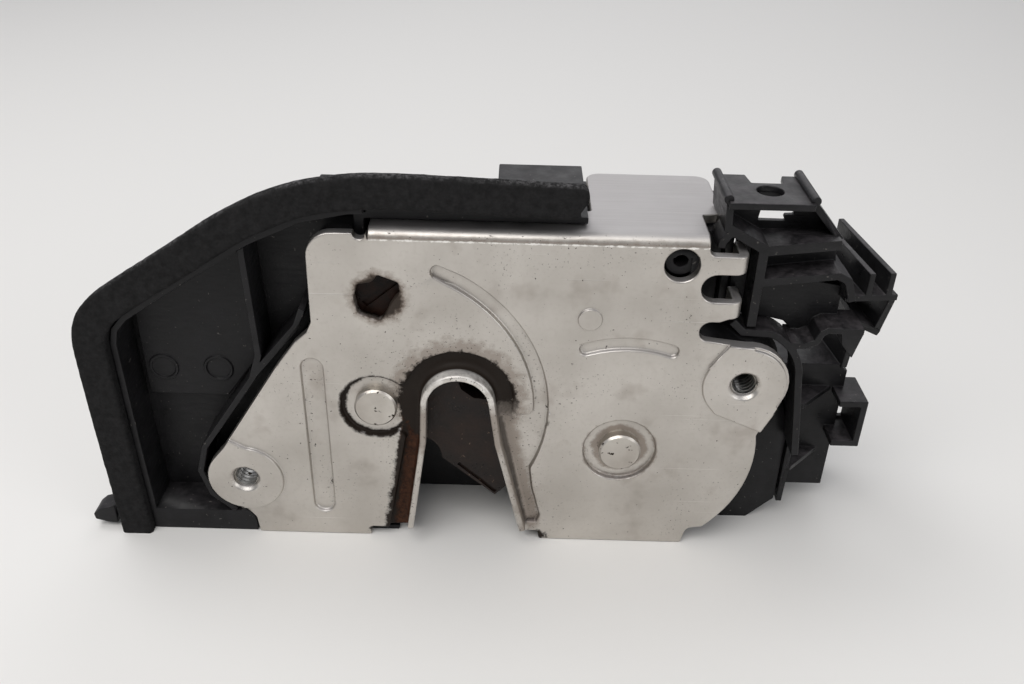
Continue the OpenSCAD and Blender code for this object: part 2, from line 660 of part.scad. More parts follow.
module seal_strip() color([0.12, 0.12, 0.13]) slab(-seal_front, seal_front + seal_back) intersection() {
    difference() {
        offset(r = seal_w) wing_2d();
        offset(delta = 0.02) wing_2d();
    }
    seal_mask();
}
module striker_bumper() color([0.05, 0.05, 0.05]) slab(floor_y + 0.5, well_back - floor_y - 0.5) intersection() {
    difference() {
        disc(arch_at, mouth_r + well_gap - 0.02);
        disc(arch_at, mouth_r + 0.6);
    }
    translate([-20, arch_h + 1]) square([40, 20]);
}

// End bracket
bracket_screw_y = 27;
foot_top_z = lever_at[1] + 12.5;
bracket_screw_z = [lever_at[1] - 3, lever_at[1] + 5];
clip_x = 48.5;
clip_hole_y = 7.4;
clip_wall_y = clip_hole_y + clip_hole_r + 0.1;
clip_back_y = clip_wall_y + web;
rail_t = 1.9;
module cable_clip() {
    x1 = clip_x + clip_w;
    translate([0, 0, clip_h - web]) linear_extrude(web) difference() {
        polygon([[clip_x, 1], [x1 - 0.2, 1], [x1, 15], [x1 - 3.4, 15], [x1 - 3.9, clip_back_y],
            [clip_x + 5.8, clip_back_y], [clip_x + 5.4, 15.2], [clip_x + 0.3, 15.2]]);
        translate([clip_x + 8.5, clip_hole_y]) circle(clip_hole_r);
    }
    for (x = [clip_x, x1]) rod([x, clip_h + 0.2], 2, 15.8, 0.9);
    // walls under the clip, the right one slanting down to the rail
    slab(bracket_front, 13.4) strip([[clip_x + 0.3, clip_h - 0.3], [clip_x + 0.7, top_h + 0.3]], web);
    slab(6, 9) strip([[x1 - 0.3, clip_h - 0.4], [71.2, 37]], web);
    // wall with the window
    slab(clip_wall_y, web) difference() {
        polygon([[clip_x + 0.6, clip_h - 0.4], [x1 - 0.3, clip_h - 0.4], [71.2, 37], [71, 36], [56.9, 36],
            [clip_x + 0.7, 40.6]]);
        polygon([[56.3, 38.9], [61.5, 38.9], [61.1, 39.6], [61.3, 40.1], [62.9, 40.2], [62.9, 40.6], [62.3, 41.3],
            [56.6, 41.2]]);
    }
}
module rails() {
    // chevron rail, post, shelf
    rail_depth = clip_back_y - bracket_front;
    slab(bracket_front, rail_depth) strip([[49.4, 40.2], [56.9, 36.1], [58, 36.2]], rail_t);
    hull() {
        slab(bracket_front, 0.1) strip([[56.9, 36.1], [70.4, 37.7]], rail_t);
        slab(clip_back_y - 0.1, 0.1) strip([[56.9, 36.1], [71.2, 36.1]], rail_t);
    }
    slab(bracket_front, 6.2) {
        strip([[56.3, 36.4], [56.3, 20]], 1.8);
        strip([[56.5, 29.3], [71.1, 31.3], [73.1, 30.3], [73.9, 28], [74.6, 26]], 1.5);
    }
    slab(8, web) polygon([[52.4, 38.6], [56.9, 36.1], [71, 37], [72, 31], [56.5, 29.3], [52.4, 29.3]]);
    // foot beside the metal flange
    slab(bracket_front, floor_y - bracket_front - 0.3) strip([[48.4, 36.4], [48.5, 37.6], [50.2, 40]], 1.5);
    // cell below the shelf
    slab(8, web) polygon([[52.4, 30], [56.3, 30], [56.3, 20], [52.4, 20]]);
    slab(15, web) polygon([[50.4, 31], [73, 32], [74, 26], [74, 17], [50.4, 17]]);
    slab(8, 8) {
        strip([[56.5, 29.5], [71.1, 31.3], [73.1, 30.3], [74.4, 26.4]], web);
        strip(arc([61.5, 28], 6.4, 200, 260, 6), web);
    }
}
module tray() {
    // wall around the right lobe, and the wavy branch to the right
    lobe_gap = 1.6;
    path = concat([[52.6, 21], [55, 18.7]], arc(thread_right, lobe_right_r + lobe_gap + 0.75, 68, 2, 8),
        [[68.4, 2], [70, -10.5]]);
    slab(bracket_front, 6.6) strip(path, 1.5);
    slab(bracket_front, 7.8) {
        strip([[64.6, 16], [67.5, 16], [69.5, 16.9], [70.3, 18.9], [71.4, 19.6], [78.2, 19.5]], web);
        polygon([[73.9, 19.2], [78.2, 19.2], [76.9, 13.6], [74.4, 16.6]]);
    }
    slab(8, web) polygon([[52.4, 21], [64, 18.4], [67, 15.4], [70.3, 18.9], [74.4, 20], [74.4, 26.5], [52.4, 30]]);
}
module fins() {
    base_z = 25.9;
    // the fins run back at a slant
    translate([84.6, 6, 0]) rotate([0, 0, 6.5]) {
        block([-10.6, 0, base_z - web], [0, fin_back - 6, base_z]);
        for (x = [-6.6, -2.5]) block([x, 0, base_z - 0.1], [x + 1.2, fin_back - 6, base_z + fin_h]);
        translate([0, 0.4, 0]) slab(0, 12) strip([[-0.65, base_z - 0.6], [-2.4, 17.6]], web);
        slab(10, fin_back - 16) strip([[-0.65, base_z - 0.6], [-2.2, 3]], web);
    }
    slab(6, 12) strip([[82.6, 17.2], [77.6, 19.4]], web);
}
module duct() {
    // side wall against the housing, panel, duct walls and gussets
    slab(bracket_front + 6.6, back_y - bracket_front - 6.6)
        strip([[71, -28.4], [71, -8.6], [68, 0.4]], web);
    slab(16, web) polygon([[71, -28.9], [82.4, -28.9], [82.4, 1.6], [80.8, 3.5], [71, 3.5], [68.4, 2], [71, -8]]);
    slab(16, 15) {
        translate([71, -28.9]) square([11.4, web]);
        translate([67.5, 2.2]) square([13.5, web]);
        translate([82.4 - web, -28.9]) square([web, 31]);
    }
    for (z = [-3.2, -19.6]) translate([0, 0, z]) linear_extrude(web)
        polygon([[70.6, 8.9], [72, 8.6], [79.6, 16.2], [70.6, 16.2]]);
}
module harness_pocket() {
    difference() {
        translate([80, 0, 0]) block([0, 10, -13.6], [6.1, 20, -2]);
        translate([80, 0, 0]) block([-1, 9, -12.2], [4.7, 18.6, -3.4]);
        block([83.3, 17, -11.6], [84.7, 22, -8.2]);
    }
}
module bracket_foot() {
    // plate that is screwed to the housing's side
    difference() {
        block([50.4, 8, lever_at[1] - 6.1], [50.4 + 1.6, 30.5, foot_top_z]);
        for (z = bracket_screw_z) translate([49, bracket_screw_y, z]) rotate([0, 90, 0]) cylinder(h = 6, r = 1.6);
    }
    slab(15, 15.5) strip([[51.2, lever_at[1] - 5], [51.2, lever_at[1] - 8.2], [62.6, 10], [68, 0.4]], web);
}
module end_bracket() color(black) difference() {
    union() {
        cable_clip();
        rails();
        tray();
        fins();
        duct();
        harness_pocket();
        bracket_foot();
    }
    // the clip's hole runs down into the window
    translate([clip_x + 8.5, clip_hole_y, clip_h - 3.5]) cylinder(h = 5, r = clip_hole_r);
    // room for the lever arms behind the front cells
    block([51.9, outside_y - 0.8, lever_at[1] - 10.6], [68, inside_y + lever_t + 0.8, lever_at[1] + 7]);
    block([49, outside_y - 1, arm_slot_z[0]], [53, inside_y + lever_t + 1, arm_slot_z[1]]);
}

lock_y = wheel_y + wheel_t + 1;
lock_t = 2.4;
raised_top_z = top_h - 3.4;
raised_mid_z = wheel_at[1] + 4;
raised_foot_z = wheel_at[1] - 15;
raised_pts = [[-22.6, raised_top_z], [9.8, raised_top_z], [9.8, screw_top_z - 4], [18.2, screw_top_z - 4],
    [18.2, raised_top_z], [41.8, raised_top_z], [41.8, raised_mid_z], [24, raised_foot_z],
    [-11, raised_foot_z], [-11, raised_mid_z], [-25.6, raised_mid_z], [-25.6, screw_top_z - 1],
    [-22.6, screw_top_z - 1]];
plug_at = [30, -27];
plug_size = [26, 14];
plug_depth = 12;
module rear_cover() color(black) difference() {
    union() {
        slab(back_y, cover_wall) rear_2d();
        slab(back_y, cover_back_y - back_y) offset(r = 2) offset(delta = -2) polygon(raised_pts);
        slab(back_y, plug_depth + cover_wall) translate(plug_at) square(plug_size);
        for (x = [-18:9:20]) slab(cover_back_y - 0.1, 1.1) translate([x, raised_mid_z + 2]) square([1.2, 18]);
    }
    slab(back_y - 1, cover_back_y - back_y - cover_wall + 1) offset(delta = -cover_wall) polygon(raised_pts);
    slab(back_y + cover_wall + 1.5, plug_depth) translate(plug_at + [1.6, 1.6]) square(plug_size - [3.2, 3.2]);
    for (at = screw_at) {
        rod(at, back_y - 1, back_y + 5, screw_r + 0.3);
        rod(at, back_y + cover_wall, cover_back_y + 5, 3.3);
    }
    for (x = pin_x, z = pin_z) rod([x, z], back_y - 1, back_y + 5, 0.9);
    rod(wheel_at, cover_back_y - cover_wall - 1, cover_back_y - 0.8, pin_r + seat_gap);
}

module child_lock_dial() color([0.2, 0.1, 0.08]) difference() {
    union() {
        rod(dial_at, plate_t + 0.4, catch_y - 0.2, 6.2);
        rod(dial_at, catch_y - 0.3, floor_back + 1.5, 3.2 - pivot_gap);
        slab(floor_back + 0.3, 1.2) strip([dial_at, dial_at + [0, 6.6]], 4);
    }
    slab(plate_t, 1) translate(dial_at) rotate(40) square([8, 1.4], center = true);
}

// Levers on the common pin
module lever_blank(y, arms) {
    difference() {
        slab(y, lever_t) {
            disc(lever_at, 7);
            for (a = arms) {
                strip([lever_at, a], arm_w - 1);
                disc(a, arm_w / 2);
            }
        }
        rod(lever_at, y - 1, y + lever_t + 1, lever_pin_r + pivot_gap);
    }
}
release_len = norm(lug_at - lever_at);
outside_eye = lever_at + [22, -6];
inside_eye = lever_at + [15.8, -2.2];
module release_lever() color(steel) difference() {
    union() {
        lever_blank(release_y, [lever_at + [-13, 3]]);
        slab(release_y, lever_t) {
            strip([lever_at + [-0.6, -5], lug_at + [0.2, 2]], arm_w);
            disc(lug_at + [0.1, 0.3], 5.4);
        }
    }
    // fork around the pawl's lug, open downwards
    d = lug_at - lever_at;
    a = atan2(d[1], d[0]);
    slab(release_y - 1, lever_t + 2) translate(lever_at) rotate(a)
        translate([release_len - 3.6, -2.6]) square([9, 5.2]);
}
module outside_lever() color(steel) difference() {
    lever_blank(outside_y, [outside_eye, lever_at + [-9, 6.6]]);
    rod(outside_eye, outside_y - 1, outside_y + lever_t + 1, 1.8);
}
module inside_lever() color(steel) difference() {
    lever_blank(inside_y, [inside_eye, lever_at + [-8, 5]]);
    rod(inside_eye, inside_y - 1, inside_y + lever_t + 1, 1.8);
}
module lever_pin() color(steel) {
    rod(lever_at, floor_back + 1, inside_y + lever_t + 2.4, lever_pin_r);
}
module lever_washers() color(dark_steel) for (y = [outside_y, inside_y]) difference() {
    rod(lever_at, y - lever_gap + 0.1, y - 0.1, 5);
    rod(lever_at, y - lever_gap - 1, y + 1, lever_pin_r + seat_gap);
}
module lever_clip() color(dark_steel) difference() {
    rod(lever_at, inside_y + lever_t + 0.4, inside_y + lever_t + 1.4, 5);
    rod(lever_at, inside_y + lever_t, inside_y + lever_t + 2, lever_pin_r + seat_gap);
    slab(inside_y + lever_t, 2) translate(lever_at + [0, -1.6]) square([8, 3.2]);
}

// Torsion spring: a helix about Y with two straight legs
function coil_path(c, y0, r, turns, a0, legs, pitch, way) = let (
    n = round(turns * 18), a1 = a0 + way * turns * 360,
    first = [c[0] + r * cos(a0) + way * legs[0] * sin(a0), y0, c[1] + r * sin(a0) - way * legs[0] * cos(a0)],
    last = [c[0] + r * cos(a1) - way * legs[1] * sin(a1), y0 + pitch * turns,
        c[1] + r * sin(a1) + way * legs[1] * cos(a1)])
    concat([[first, a0]],
        [for (i = [0:n]) let (a = a0 + (a1 - a0) * i / n)
            [[c[0] + r * cos(a), y0 + pitch * turns * i / n, c[1] + r * sin(a)], a]],
        [[last, a1]]);
module wire_coil(path, wire, way) {
    sides = 8;
    pts = [for (p = path) for (k = [0:sides - 1]) let (b = 360 * k / sides)
        p[0] + wire / 2 * (cos(b) * [cos(p[1]), 0, sin(p[1])] + way * sin(b) * [0, 1, 0])];
    m = len(path);
    polyhedron(pts, concat(
        [[for (k = [0:sides - 1]) k]],
        [for (i = [0:m - 2]) for (k = [0:sides - 1]) let (k2 = (k + 1) % sides)
            [i * sides + k, (i + 1) * sides + k, (i + 1) * sides + k2, i * sides + k2]],
        [[for (k = [sides - 1:-1:0]) (m - 1) * sides + k]]));
}
// Both springs sit around the rivets' tails
spring_wire = 1.1;
spring_coil_r = head_r + 0.12 + spring_wire / 2;
spring_y = bearing_back + spring_wire / 2 + 0.05;
module catch_spring() color(dark_steel)
    wire_coil(coil_path(catch_at, spring_y, spring_coil_r, 3.2, 150, [10, 9], spring_wire * 1.15, 1), spring_wire, 1);
module pawl_spring() color(dark_steel)
    wire_coil(coil_path(pawl_at, spring_y, spring_coil_r, 3.4, -13, [15, 9], spring_wire * 1.15, -1), spring_wire, -1);

// Drive
module on_motor_axis(x) {
    translate([x, drive_y, worm_axis_z]) rotate([0, 90, 0]) children();
}
module lock_motor() color(steel) difference() {
    union() {
        on_motor_axis(motor_x0) cylinder(h = motor_len, r = motor_r);
        on_motor_axis(motor_x0 + motor_len - 0.1) cylinder(h = 1.6, r = 3);
    }
    on_motor_axis(motor_x0 + motor_len - 6) cylinder(h = 9, r = shaft_r + pivot_gap);
}
worm_x0 = motor_x0 + motor_len + 2;
worm_len = 12.6;
shaft_r = 1;
module motor_shaft() color(dark_steel) on_motor_axis(motor_x0 + motor_len - 5.9)
    cylinder(h = 8.9 + worm_len - 1.6, r = shaft_r);
// The worm's thread is a coil laid around its core
module motor_worm() color([0.85, 0.8, 0.6]) difference() {
    union() {
        on_motor_axis(worm_x0) cylinder(h = worm_len, r = worm_r - 1.2);
        translate([worm_x0, drive_y, worm_axis_z]) rotate([0, 0, -90])
            wire_coil(coil_path([0, 0], 1.3, worm_r - 0.7, 4, 0, [0.2, 0.2], worm_pitch, 1), 1.4, 1);
    }
    on_motor_axis(worm_x0 - 1) cylinder(h = worm_len + 2, r = shaft_r + seat_gap);
}
worm_pitch = 2 * PI * (wheel_r - 0.8) / wheel_teeth;
peg_r = 9;
module worm_wheel() color([0.85, 0.85, 0.8]) difference() {
    union() {
        slab(wheel_y, wheel_t) union() {
            disc(wheel_at, wheel_r - 1.3);
            for (i = [0:wheel_teeth - 1]) translate(wheel_at) rotate(i * 360 / wheel_teeth)
                polygon([[wheel_r - 2, -0.85], [wheel_r, -0.4], [wheel_r, 0.4], [wheel_r - 2, 0.85]]);
        }
        rod(wheel_at, well_back + well_wall + 0.3, wheel_y + wheel_t + 0.6, 4);
        rod(wheel_at + [peg_r, 0], wheel_y + wheel_t - 0.1, lock_y + lock_t + 0.6, 2);
    }
    rod(wheel_at, well_back, wheel_y + wheel_t + 2, pin_r + pivot_gap);
}
module wheel_axle() color(steel) rod(wheel_at, well_back + 0.5, cover_back_y - 0.9, pin_r);
peg_at = wheel_at + [peg_r, 0];
module lock_lever() color([0.8, 0.8, 0.76]) difference() {
    d = peg_at - lock_at;
    a = atan2(d[1], d[0]);
    slab(lock_y, lock_t) difference() {
        union() {
            disc(lock_at, 6);
            strip([lock_at, lock_at + 21 * [cos(a), sin(a)]], 9.4);
            strip([lock_at, lock_at + [6, 5]], 6);
        }
        translate(lock_at) rotate(a) translate([12.2, -2.7]) square([10, 5.4]);
    }
    rod(lock_at, lock_y - 1, lock_y + lock_t + 1, pin_r + pivot_gap);
}
module lock_pin() color(steel) {
    rod(lock_at, floor_back + 1, lock_y + lock_t + 0.3, pin_r);
    rod(lock_at, lock_y + lock_t + 0.3, lock_y + lock_t + 1.2, 3.4);
}

// Electrics
carrier_y = 25.5;
module circuit_carrier() color([0.14, 0.14, 0.15]) difference() {
    slab(carrier_y, 1.6) polygon([[24, -31], [61.6, -31], [67.6, -26.6], [67.6, -13], [24, -13]]);
    for (at = screw_at) rod(at, carrier_y - 1, carrier_y + 3, 3.2);
}
pin_x = [for (i = [0:4]) plug_at[0] + 5 + i * 4];
pin_z = [plug_at[1] + 4.6, plug_at[1] + 9.4];
module connector_pins() color([0.8, 0.7, 0.35]) for (x = pin_x, z = pin_z)
    block([x - 0.32, carrier_y + 1.6, z - 0.32], [x + 0.32, back_y + plug_depth - 3, z + 0.32]);
module ajar_switch() color([0.1, 0.1, 0.12]) {
    block([30, carrier_y - 6, -27], [44, carrier_y, -21]);
    block([35, carrier_y - 5, -21.1], [36.6, carrier_y - 3, -19.6]);
}
module lock_switch() color([0.1, 0.1, 0.12]) {
    block([46, carrier_y - 6, -27], [60, carrier_y, -21]);
    block([51, carrier_y - 5, -21.1], [52.6, carrier_y - 3, -19.6]);
}
module cover_screws() color(steel) for (at = screw_at) {
    rod(at, back_y - 12, back_y + cover_wall, screw_r);
    rod(at, back_y + cover_wall, back_y + cover_wall + 1.8, 2.8);
}
module bracket_screws() color(steel) for (z = bracket_screw_z) translate([0, bracket_screw_y, z]) rotate([0, 90, 0]) {
    translate([0, 0, 46.5]) cylinder(h = 5.5, r = screw_r);
    translate([0, 0, 52]) cylinder(h = 1.6, r = 2.6);
}

lock_plate();
catch_rivet();
pawl_rivet();
catch_core();
catch_cover();
pawl_core();
pawl_cover();
back_plate();
housing();
seal_strip();
striker_bumper();
end_bracket();
rear_cover();
child_lock_dial();
release_lever();
outside_lever();
inside_lever();
lever_pin();
lever_washers();
lever_clip();
catch_spring();
pawl_spring();
lock_motor();
motor_shaft();
motor_worm();
worm_wheel();
wheel_axle();
lock_lever();
lock_pin();
ajar_switch();
lock_switch();
circuit_carrier();
connector_pins();
cover_screws();
bracket_screws();
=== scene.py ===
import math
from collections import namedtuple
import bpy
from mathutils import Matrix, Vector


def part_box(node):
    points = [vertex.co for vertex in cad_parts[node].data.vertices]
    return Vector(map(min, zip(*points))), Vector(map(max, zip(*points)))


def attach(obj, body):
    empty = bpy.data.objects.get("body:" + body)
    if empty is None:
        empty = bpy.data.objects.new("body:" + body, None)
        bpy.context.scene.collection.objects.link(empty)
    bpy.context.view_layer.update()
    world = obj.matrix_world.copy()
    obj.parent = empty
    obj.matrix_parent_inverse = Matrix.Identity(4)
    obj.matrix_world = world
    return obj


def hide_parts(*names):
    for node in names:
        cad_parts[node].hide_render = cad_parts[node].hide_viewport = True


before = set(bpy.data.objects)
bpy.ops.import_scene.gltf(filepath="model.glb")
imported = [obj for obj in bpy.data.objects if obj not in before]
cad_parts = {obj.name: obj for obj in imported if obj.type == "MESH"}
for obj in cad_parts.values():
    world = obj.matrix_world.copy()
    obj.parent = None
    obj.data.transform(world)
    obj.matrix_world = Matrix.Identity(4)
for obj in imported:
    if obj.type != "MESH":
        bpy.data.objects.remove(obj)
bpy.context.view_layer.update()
# Car door lock: pressed plate, mouldings, foam seal, threads, grease and wear, and painted shade and
# highlights, around the fixed frame.
# X runs right along the plate, Y runs back, Z is up, all in metres.
from types import SimpleNamespace

import bmesh
import bpy
import numpy as np
from mathutils import Matrix, Vector
from mathutils.bvhtree import BVHTree
from mathutils.geometry import delaunay_2d_cdt

MM = 0.001
foot_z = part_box("lock_plate")[0].z


def middle(node):
    """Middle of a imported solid's box."""
    low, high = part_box(node)
    return (low + high) / 2


def on_plate(x, z):
    """A place on the plate's front, given in millimetres."""
    return Vector((x, 0, z)) * MM


# Places on the plate
catch_axis = middle("catch_rivet")
pawl_axis = middle("pawl_rivet")
dial_axis = middle("child_lock_dial")
arch_axis = on_plate(0, 2.8)
thread_axes = [on_plate(-44.9, -18.5), on_plate(56.3, 8.1)]
grease_axis = on_plate(-0.2, 1.8)
left_gutter = [on_plate(-8.9, 0), on_plate(-12.5, -30)]
gutter_edge = [on_plate(-11, -4.5), on_plate(-15.1, -31)]
right_gutter = [on_plate(9.9, -4), on_plate(15.5, -28.5)]
right_root = [on_plate(8.4, -2), on_plate(14, -29)]
left_foot = [on_plate(-18.6, -32), on_plate(-11, -32)]
right_foot = on_plate(17.4, -32.4)
bend_foot = [on_plate(-16.2, 37.3), on_plate(45.8, 37.3)]

# Marks on the plate: the spot or line that each follows, how far it reaches from there, the width over
# which it fades, and how far its ragged edge strays, in millimetres
Mark = namedtuple("Mark", "place reach fade stray")
hole_film = Mark([dial_axis], 4.3, 2.0, 0.9)
mouth_film = Mark([arch_axis], 12.6, 2.2, 1.6)
left_leg_film = Mark(left_gutter, 2.1, 0.5, 0.4)
right_leg_film = Mark(right_gutter, 1.0, 1.6, 0.8)
bend_dark_reflection = Mark(bend_foot, 0.25, 0.9, 0.35)
# The worn line at the bend's foot and the arch rim's wall are painted pale as highlights
bend_wear_highlight = Mark(bend_foot, 0.02, 0.14, 0.22)
arch_rim = Mark([arch_axis], 8.6, 0.3, 0)
speck_fields = [Mark([arch_axis], 11, 14, 0), Mark(right_gutter, 2, 6, 0), Mark(left_gutter, 2, 5, 0)]
# Dark line along the left gutter's edge; painted shadow at the plate's foot left and right of the mouth
gutter_line_and_foot_shadow = [Mark(gutter_edge, 0.5, 0.8, 0.7), Mark(left_foot, 0.5, 0.5, 0.9),
                 Mark([right_foot], 1.2, 0.6, 0.9)]
# Dark line along the root of the rim's right leg
right_root_line = Mark(right_root, 0.3, 0.5, 0.2)
hole_grease = Mark([dial_axis], 4.1, 1.1, 0.7)

# Colours of the plate, of what lies on it, and of the shade, reflection and highlights painted on it
zinc_dull = (0.5, 0.472, 0.435, 1)
zinc_pale = (0.61, 0.58, 0.54, 1)
zinc_pit = (0.42, 0.38, 0.34, 1)
satin_dull = (0.5, 0.482, 0.48, 1)
satin_pale = (0.56, 0.542, 0.54, 1)
bare_scratch = (0.85, 0.83, 0.8, 1)
bare_highlight_zinc = (0.88, 0.86, 0.82, 1)
# Brown of the film, and of the painted dark reflection along the bend
film_and_reflection_brown = (0.125, 0.072, 0.04, 1)
soaked_dark = (0.022, 0.009, 0.005, 1)
soaked_brown = (0.075, 0.03, 0.015, 1)
# Black of grease, of dark lines, and of painted shade and shadow
grease_and_shade_black = (0.016, 0.011, 0.008, 1)


# Building blocks of a finish

def put(finish, kind, inputs=(), **settings):
    """Adds one node to a finish, sets it up, and joins or fills its inputs."""
    made = finish.node_tree.nodes.new("ShaderNode" + kind)
    for name, value in settings.items():
        setattr(made, name, value)
    for socket, value in dict(inputs).items():
        if isinstance(value, bpy.types.NodeSocket):
            finish.node_tree.links.new(value, made.inputs[socket])
        else:
            made.inputs[socket].default_value = value
    return made


def surface(finish):
    """Coordinates of the piece in metres, the same in every view."""
    return put(finish, "TexCoord").outputs["Object"]


def axis(finish, vector, letter):
    """X, Y or Z of a vector."""
    return put(finish, "SeparateXYZ", {0: vector}).outputs[letter]


def grain(finish, where, scale, detail=2.0, roughness=0.5):
    """Cloudy noise, from 0 to 1."""
    noise = put(finish, "TexNoise", {"Vector": where, "Scale": scale, "Detail": detail,
                                     "Roughness": roughness})
    return noise.outputs["Fac"]


def between(finish, value, low, high, to_low=0.0, to_high=1.0):
    """Spreads the stretch low..high of a value over to_low..to_high, and holds it outside."""
    spread = put(finish, "MapRange", {"Value": value, "From Min": low, "From Max": high,
                                      "To Min": to_low, "To Max": to_high})
    return spread.outputs["Result"]


def combine(finish, operation, a, b):
    """One step of arithmetic on two values or masks."""
    return put(finish, "Math", {0: a, 1: b}, operation=operation).outputs[0]


def share(finish, mask, amount):
    """A mask weakened by a number or by another mask."""
    return combine(finish, "MULTIPLY", mask, amount)


def opposite(finish, mask):
    """1 where the mask is 0, and 0 where it is 1."""
    return combine(finish, "SUBTRACT", 1.0, mask)


def most(finish, *masks):
    """The strongest of several masks."""
    strongest = masks[0]
    for mask in masks[1:]:
        strongest = combine(finish, "MAXIMUM", strongest, mask)
    return strongest


def paint(finish, mask, under, over):
    """Lays one colour over another where the mask is 1."""
    mix = put(finish, "Mix", {0: mask, 6: under, 7: over}, data_type="RGBA")
    return mix.outputs[2]


def stretched(finish, where, turn, scale):
    """Coordinates turned about Y and stretched, for scratches and streaks."""
    mapping = put(finish, "Mapping", {"Vector": where, "Rotation": (0, math.radians(turn), 0),
                                      "Scale": scale})
    return mapping.outputs["Vector"]


def face_on(finish, where):
    """Coordinates with the depth taken out, for marks seen on the front."""
    return put(finish, "VectorMath", {0: where, 1: (1, 0, 1)}, operation="MULTIPLY").outputs[0]


def far_from(finish, flat, start, end=None):
    """Distance on the front from a spot, or from the line between two."""
    origin = (start.x, 0, start.z)
    if end is None:
        return put(finish, "VectorMath", {0: flat, 1: origin}, operation="DISTANCE").outputs["Value"]
    run = Vector((end.x - start.x, 0, end.z - start.z))
    from_start = put(finish, "VectorMath", {0: flat, 1: origin}, operation="SUBTRACT").outputs[0]
    part = put(finish, "VectorMath", {0: from_start, 1: tuple(run / run.length_squared)},
               operation="DOT_PRODUCT").outputs["Value"]
    part = between(finish, part, 0, 1)
    foot = put(finish, "VectorMath", {0: tuple(run), "Scale": part}, operation="SCALE").outputs[0]
    return put(finish, "VectorMath", {0: from_start, 1: foot}, operation="DISTANCE").outputs["Value"]


def torn(finish, far, ragged, stray):
    """A distance that a noise moves by up to stray either way, which makes an edge ragged."""
    return combine(finish, "ADD", far, between(finish, ragged, 0.3, 0.7, -stray, stray))


def crevices(finish, reach):
    """1 deep in corners and grooves of the piece itself, 0 in the open; it lays out painted shade."""
    open_sky = put(finish, "AmbientOcclusion", {"Distance": reach}, samples=4, only_local=True)
    return between(finish, open_sky.outputs["AO"], 0.35, 0.8, 1.0, 0.0)


def facing_up(finish, low=0.5, high=0.95):
    """1 on what faces up, 0 on walls."""
    normal = put(finish, "NewGeometry").outputs["Normal"]
    return between(finish, axis(finish, normal, "Z"), low, high)


def start_finish(name, metallic=0.0, specular=0.5, ior=1.5):
    """A new material and its shader. What is the same all over is set on the shader itself."""
    finish = bpy.data.materials.new(name)
    finish.use_nodes = True
    shader = finish.node_tree.nodes["Principled BSDF"]
    shader.inputs["Metallic"].default_value = metallic
    shader.inputs["Specular IOR Level"].default_value = specular
    shader.inputs["IOR"].default_value = ior
    return finish, shader


def join(finish, value, shader, socket):
    """Leads a value or colour into the shader."""
    finish.node_tree.links.new(value, shader.inputs[socket])


def relief(finish, shader, height, distance, strength=1.0):
    """Fine relief too small for the mesh."""
    bump = put(finish, "Bump", {"Height": height, "Distance": distance, "Strength": strength})
    join(finish, bump.outputs["Normal"], shader, "Normal")


# Finish of the lock plate

def plate_places(finish):
    """Coordinates and masks by which the marks on the plate are laid out."""
    on = SimpleNamespace(where=surface(finish), top=facing_up(finish))
    on.flat = face_on(finish, on.where)
    on.across = axis(finish, on.where, "X")
    on.depth = axis(finish, on.where, "Y")
    on.height = axis(finish, on.where, "Z")
    on.ragged = grain(finish, on.where, 480, 5, 0.7)
    on.behind_rim = between(finish, on.depth, -0.9 * MM, -0.15 * MM)
    return on


def drawn(finish, on, mark, ragged=None):
    """A mark on the plate: 1 where it lies, fading to 0. Its edge may follow a noise of its own."""
    far = far_from(finish, on.flat, *mark.place)
    if mark.stray:
        noise = on.ragged if ragged is None else ragged
        far = torn(finish, far, noise, mark.stray * MM)
    return between(finish, far, mark.reach * MM, mark.reach * MM + mark.fade * MM, 1.0, 0.0)


def plate_metal(finish, on, fine):
    """Cloudy silver zinc with fine pits, brushed satin on top of the flange."""
    cloud = grain(finish, on.where, 60, 4)
    metal = paint(finish, between(finish, cloud, 0.35, 0.65), zinc_dull, zinc_pale)
    metal = paint(finish, between(finish, fine, 0.5, 0.8, 0, 0.25), metal, zinc_pit)
    brushed = grain(finish, stretched(finish, on.where, 0, (60, 2200, 2200)), 1.0, 3)
    satin = paint(finish, between(finish, brushed, 0.2, 0.8), satin_dull, satin_pale)
    return paint(finish, on.top, metal, satin)


def crossed_scratches(finish, on):
    """Long fine scratches in two directions."""
    first = grain(finish, stretched(finish, on.where, 24, (30, 30, 2600)), 1.0, 1)
    second = grain(finish, stretched(finish, on.where, -52, (24, 24, 2200)), 1.0, 1)
    return most(finish, between(finish, first, 0.73, 0.77), between(finish, second, 0.74, 0.78))


def arch_wall_highlight(finish, on):
    """Upper wall of the rim round the mouth's arch, where a highlight is painted; the striker keeps it
    clean.
    """
    wall = share(finish, drawn(finish, on, arch_rim), between(finish, on.depth, 0.2 * MM, 0.9 * MM, 1, 0))
    return share(finish, wall, between(finish, on.height, 1 * MM, 4 * MM))


def thin_ring(finish, far, radius, full, gone, strength):
    """A thin ring round a spot, in millimetres: strong up to full from its radius, and nothing past gone."""
    off = combine(finish, "ABSOLUTE", combine(finish, "SUBTRACT", far, radius * MM), 0)
    return between(finish, off, full * MM, gone * MM, strength, 0)


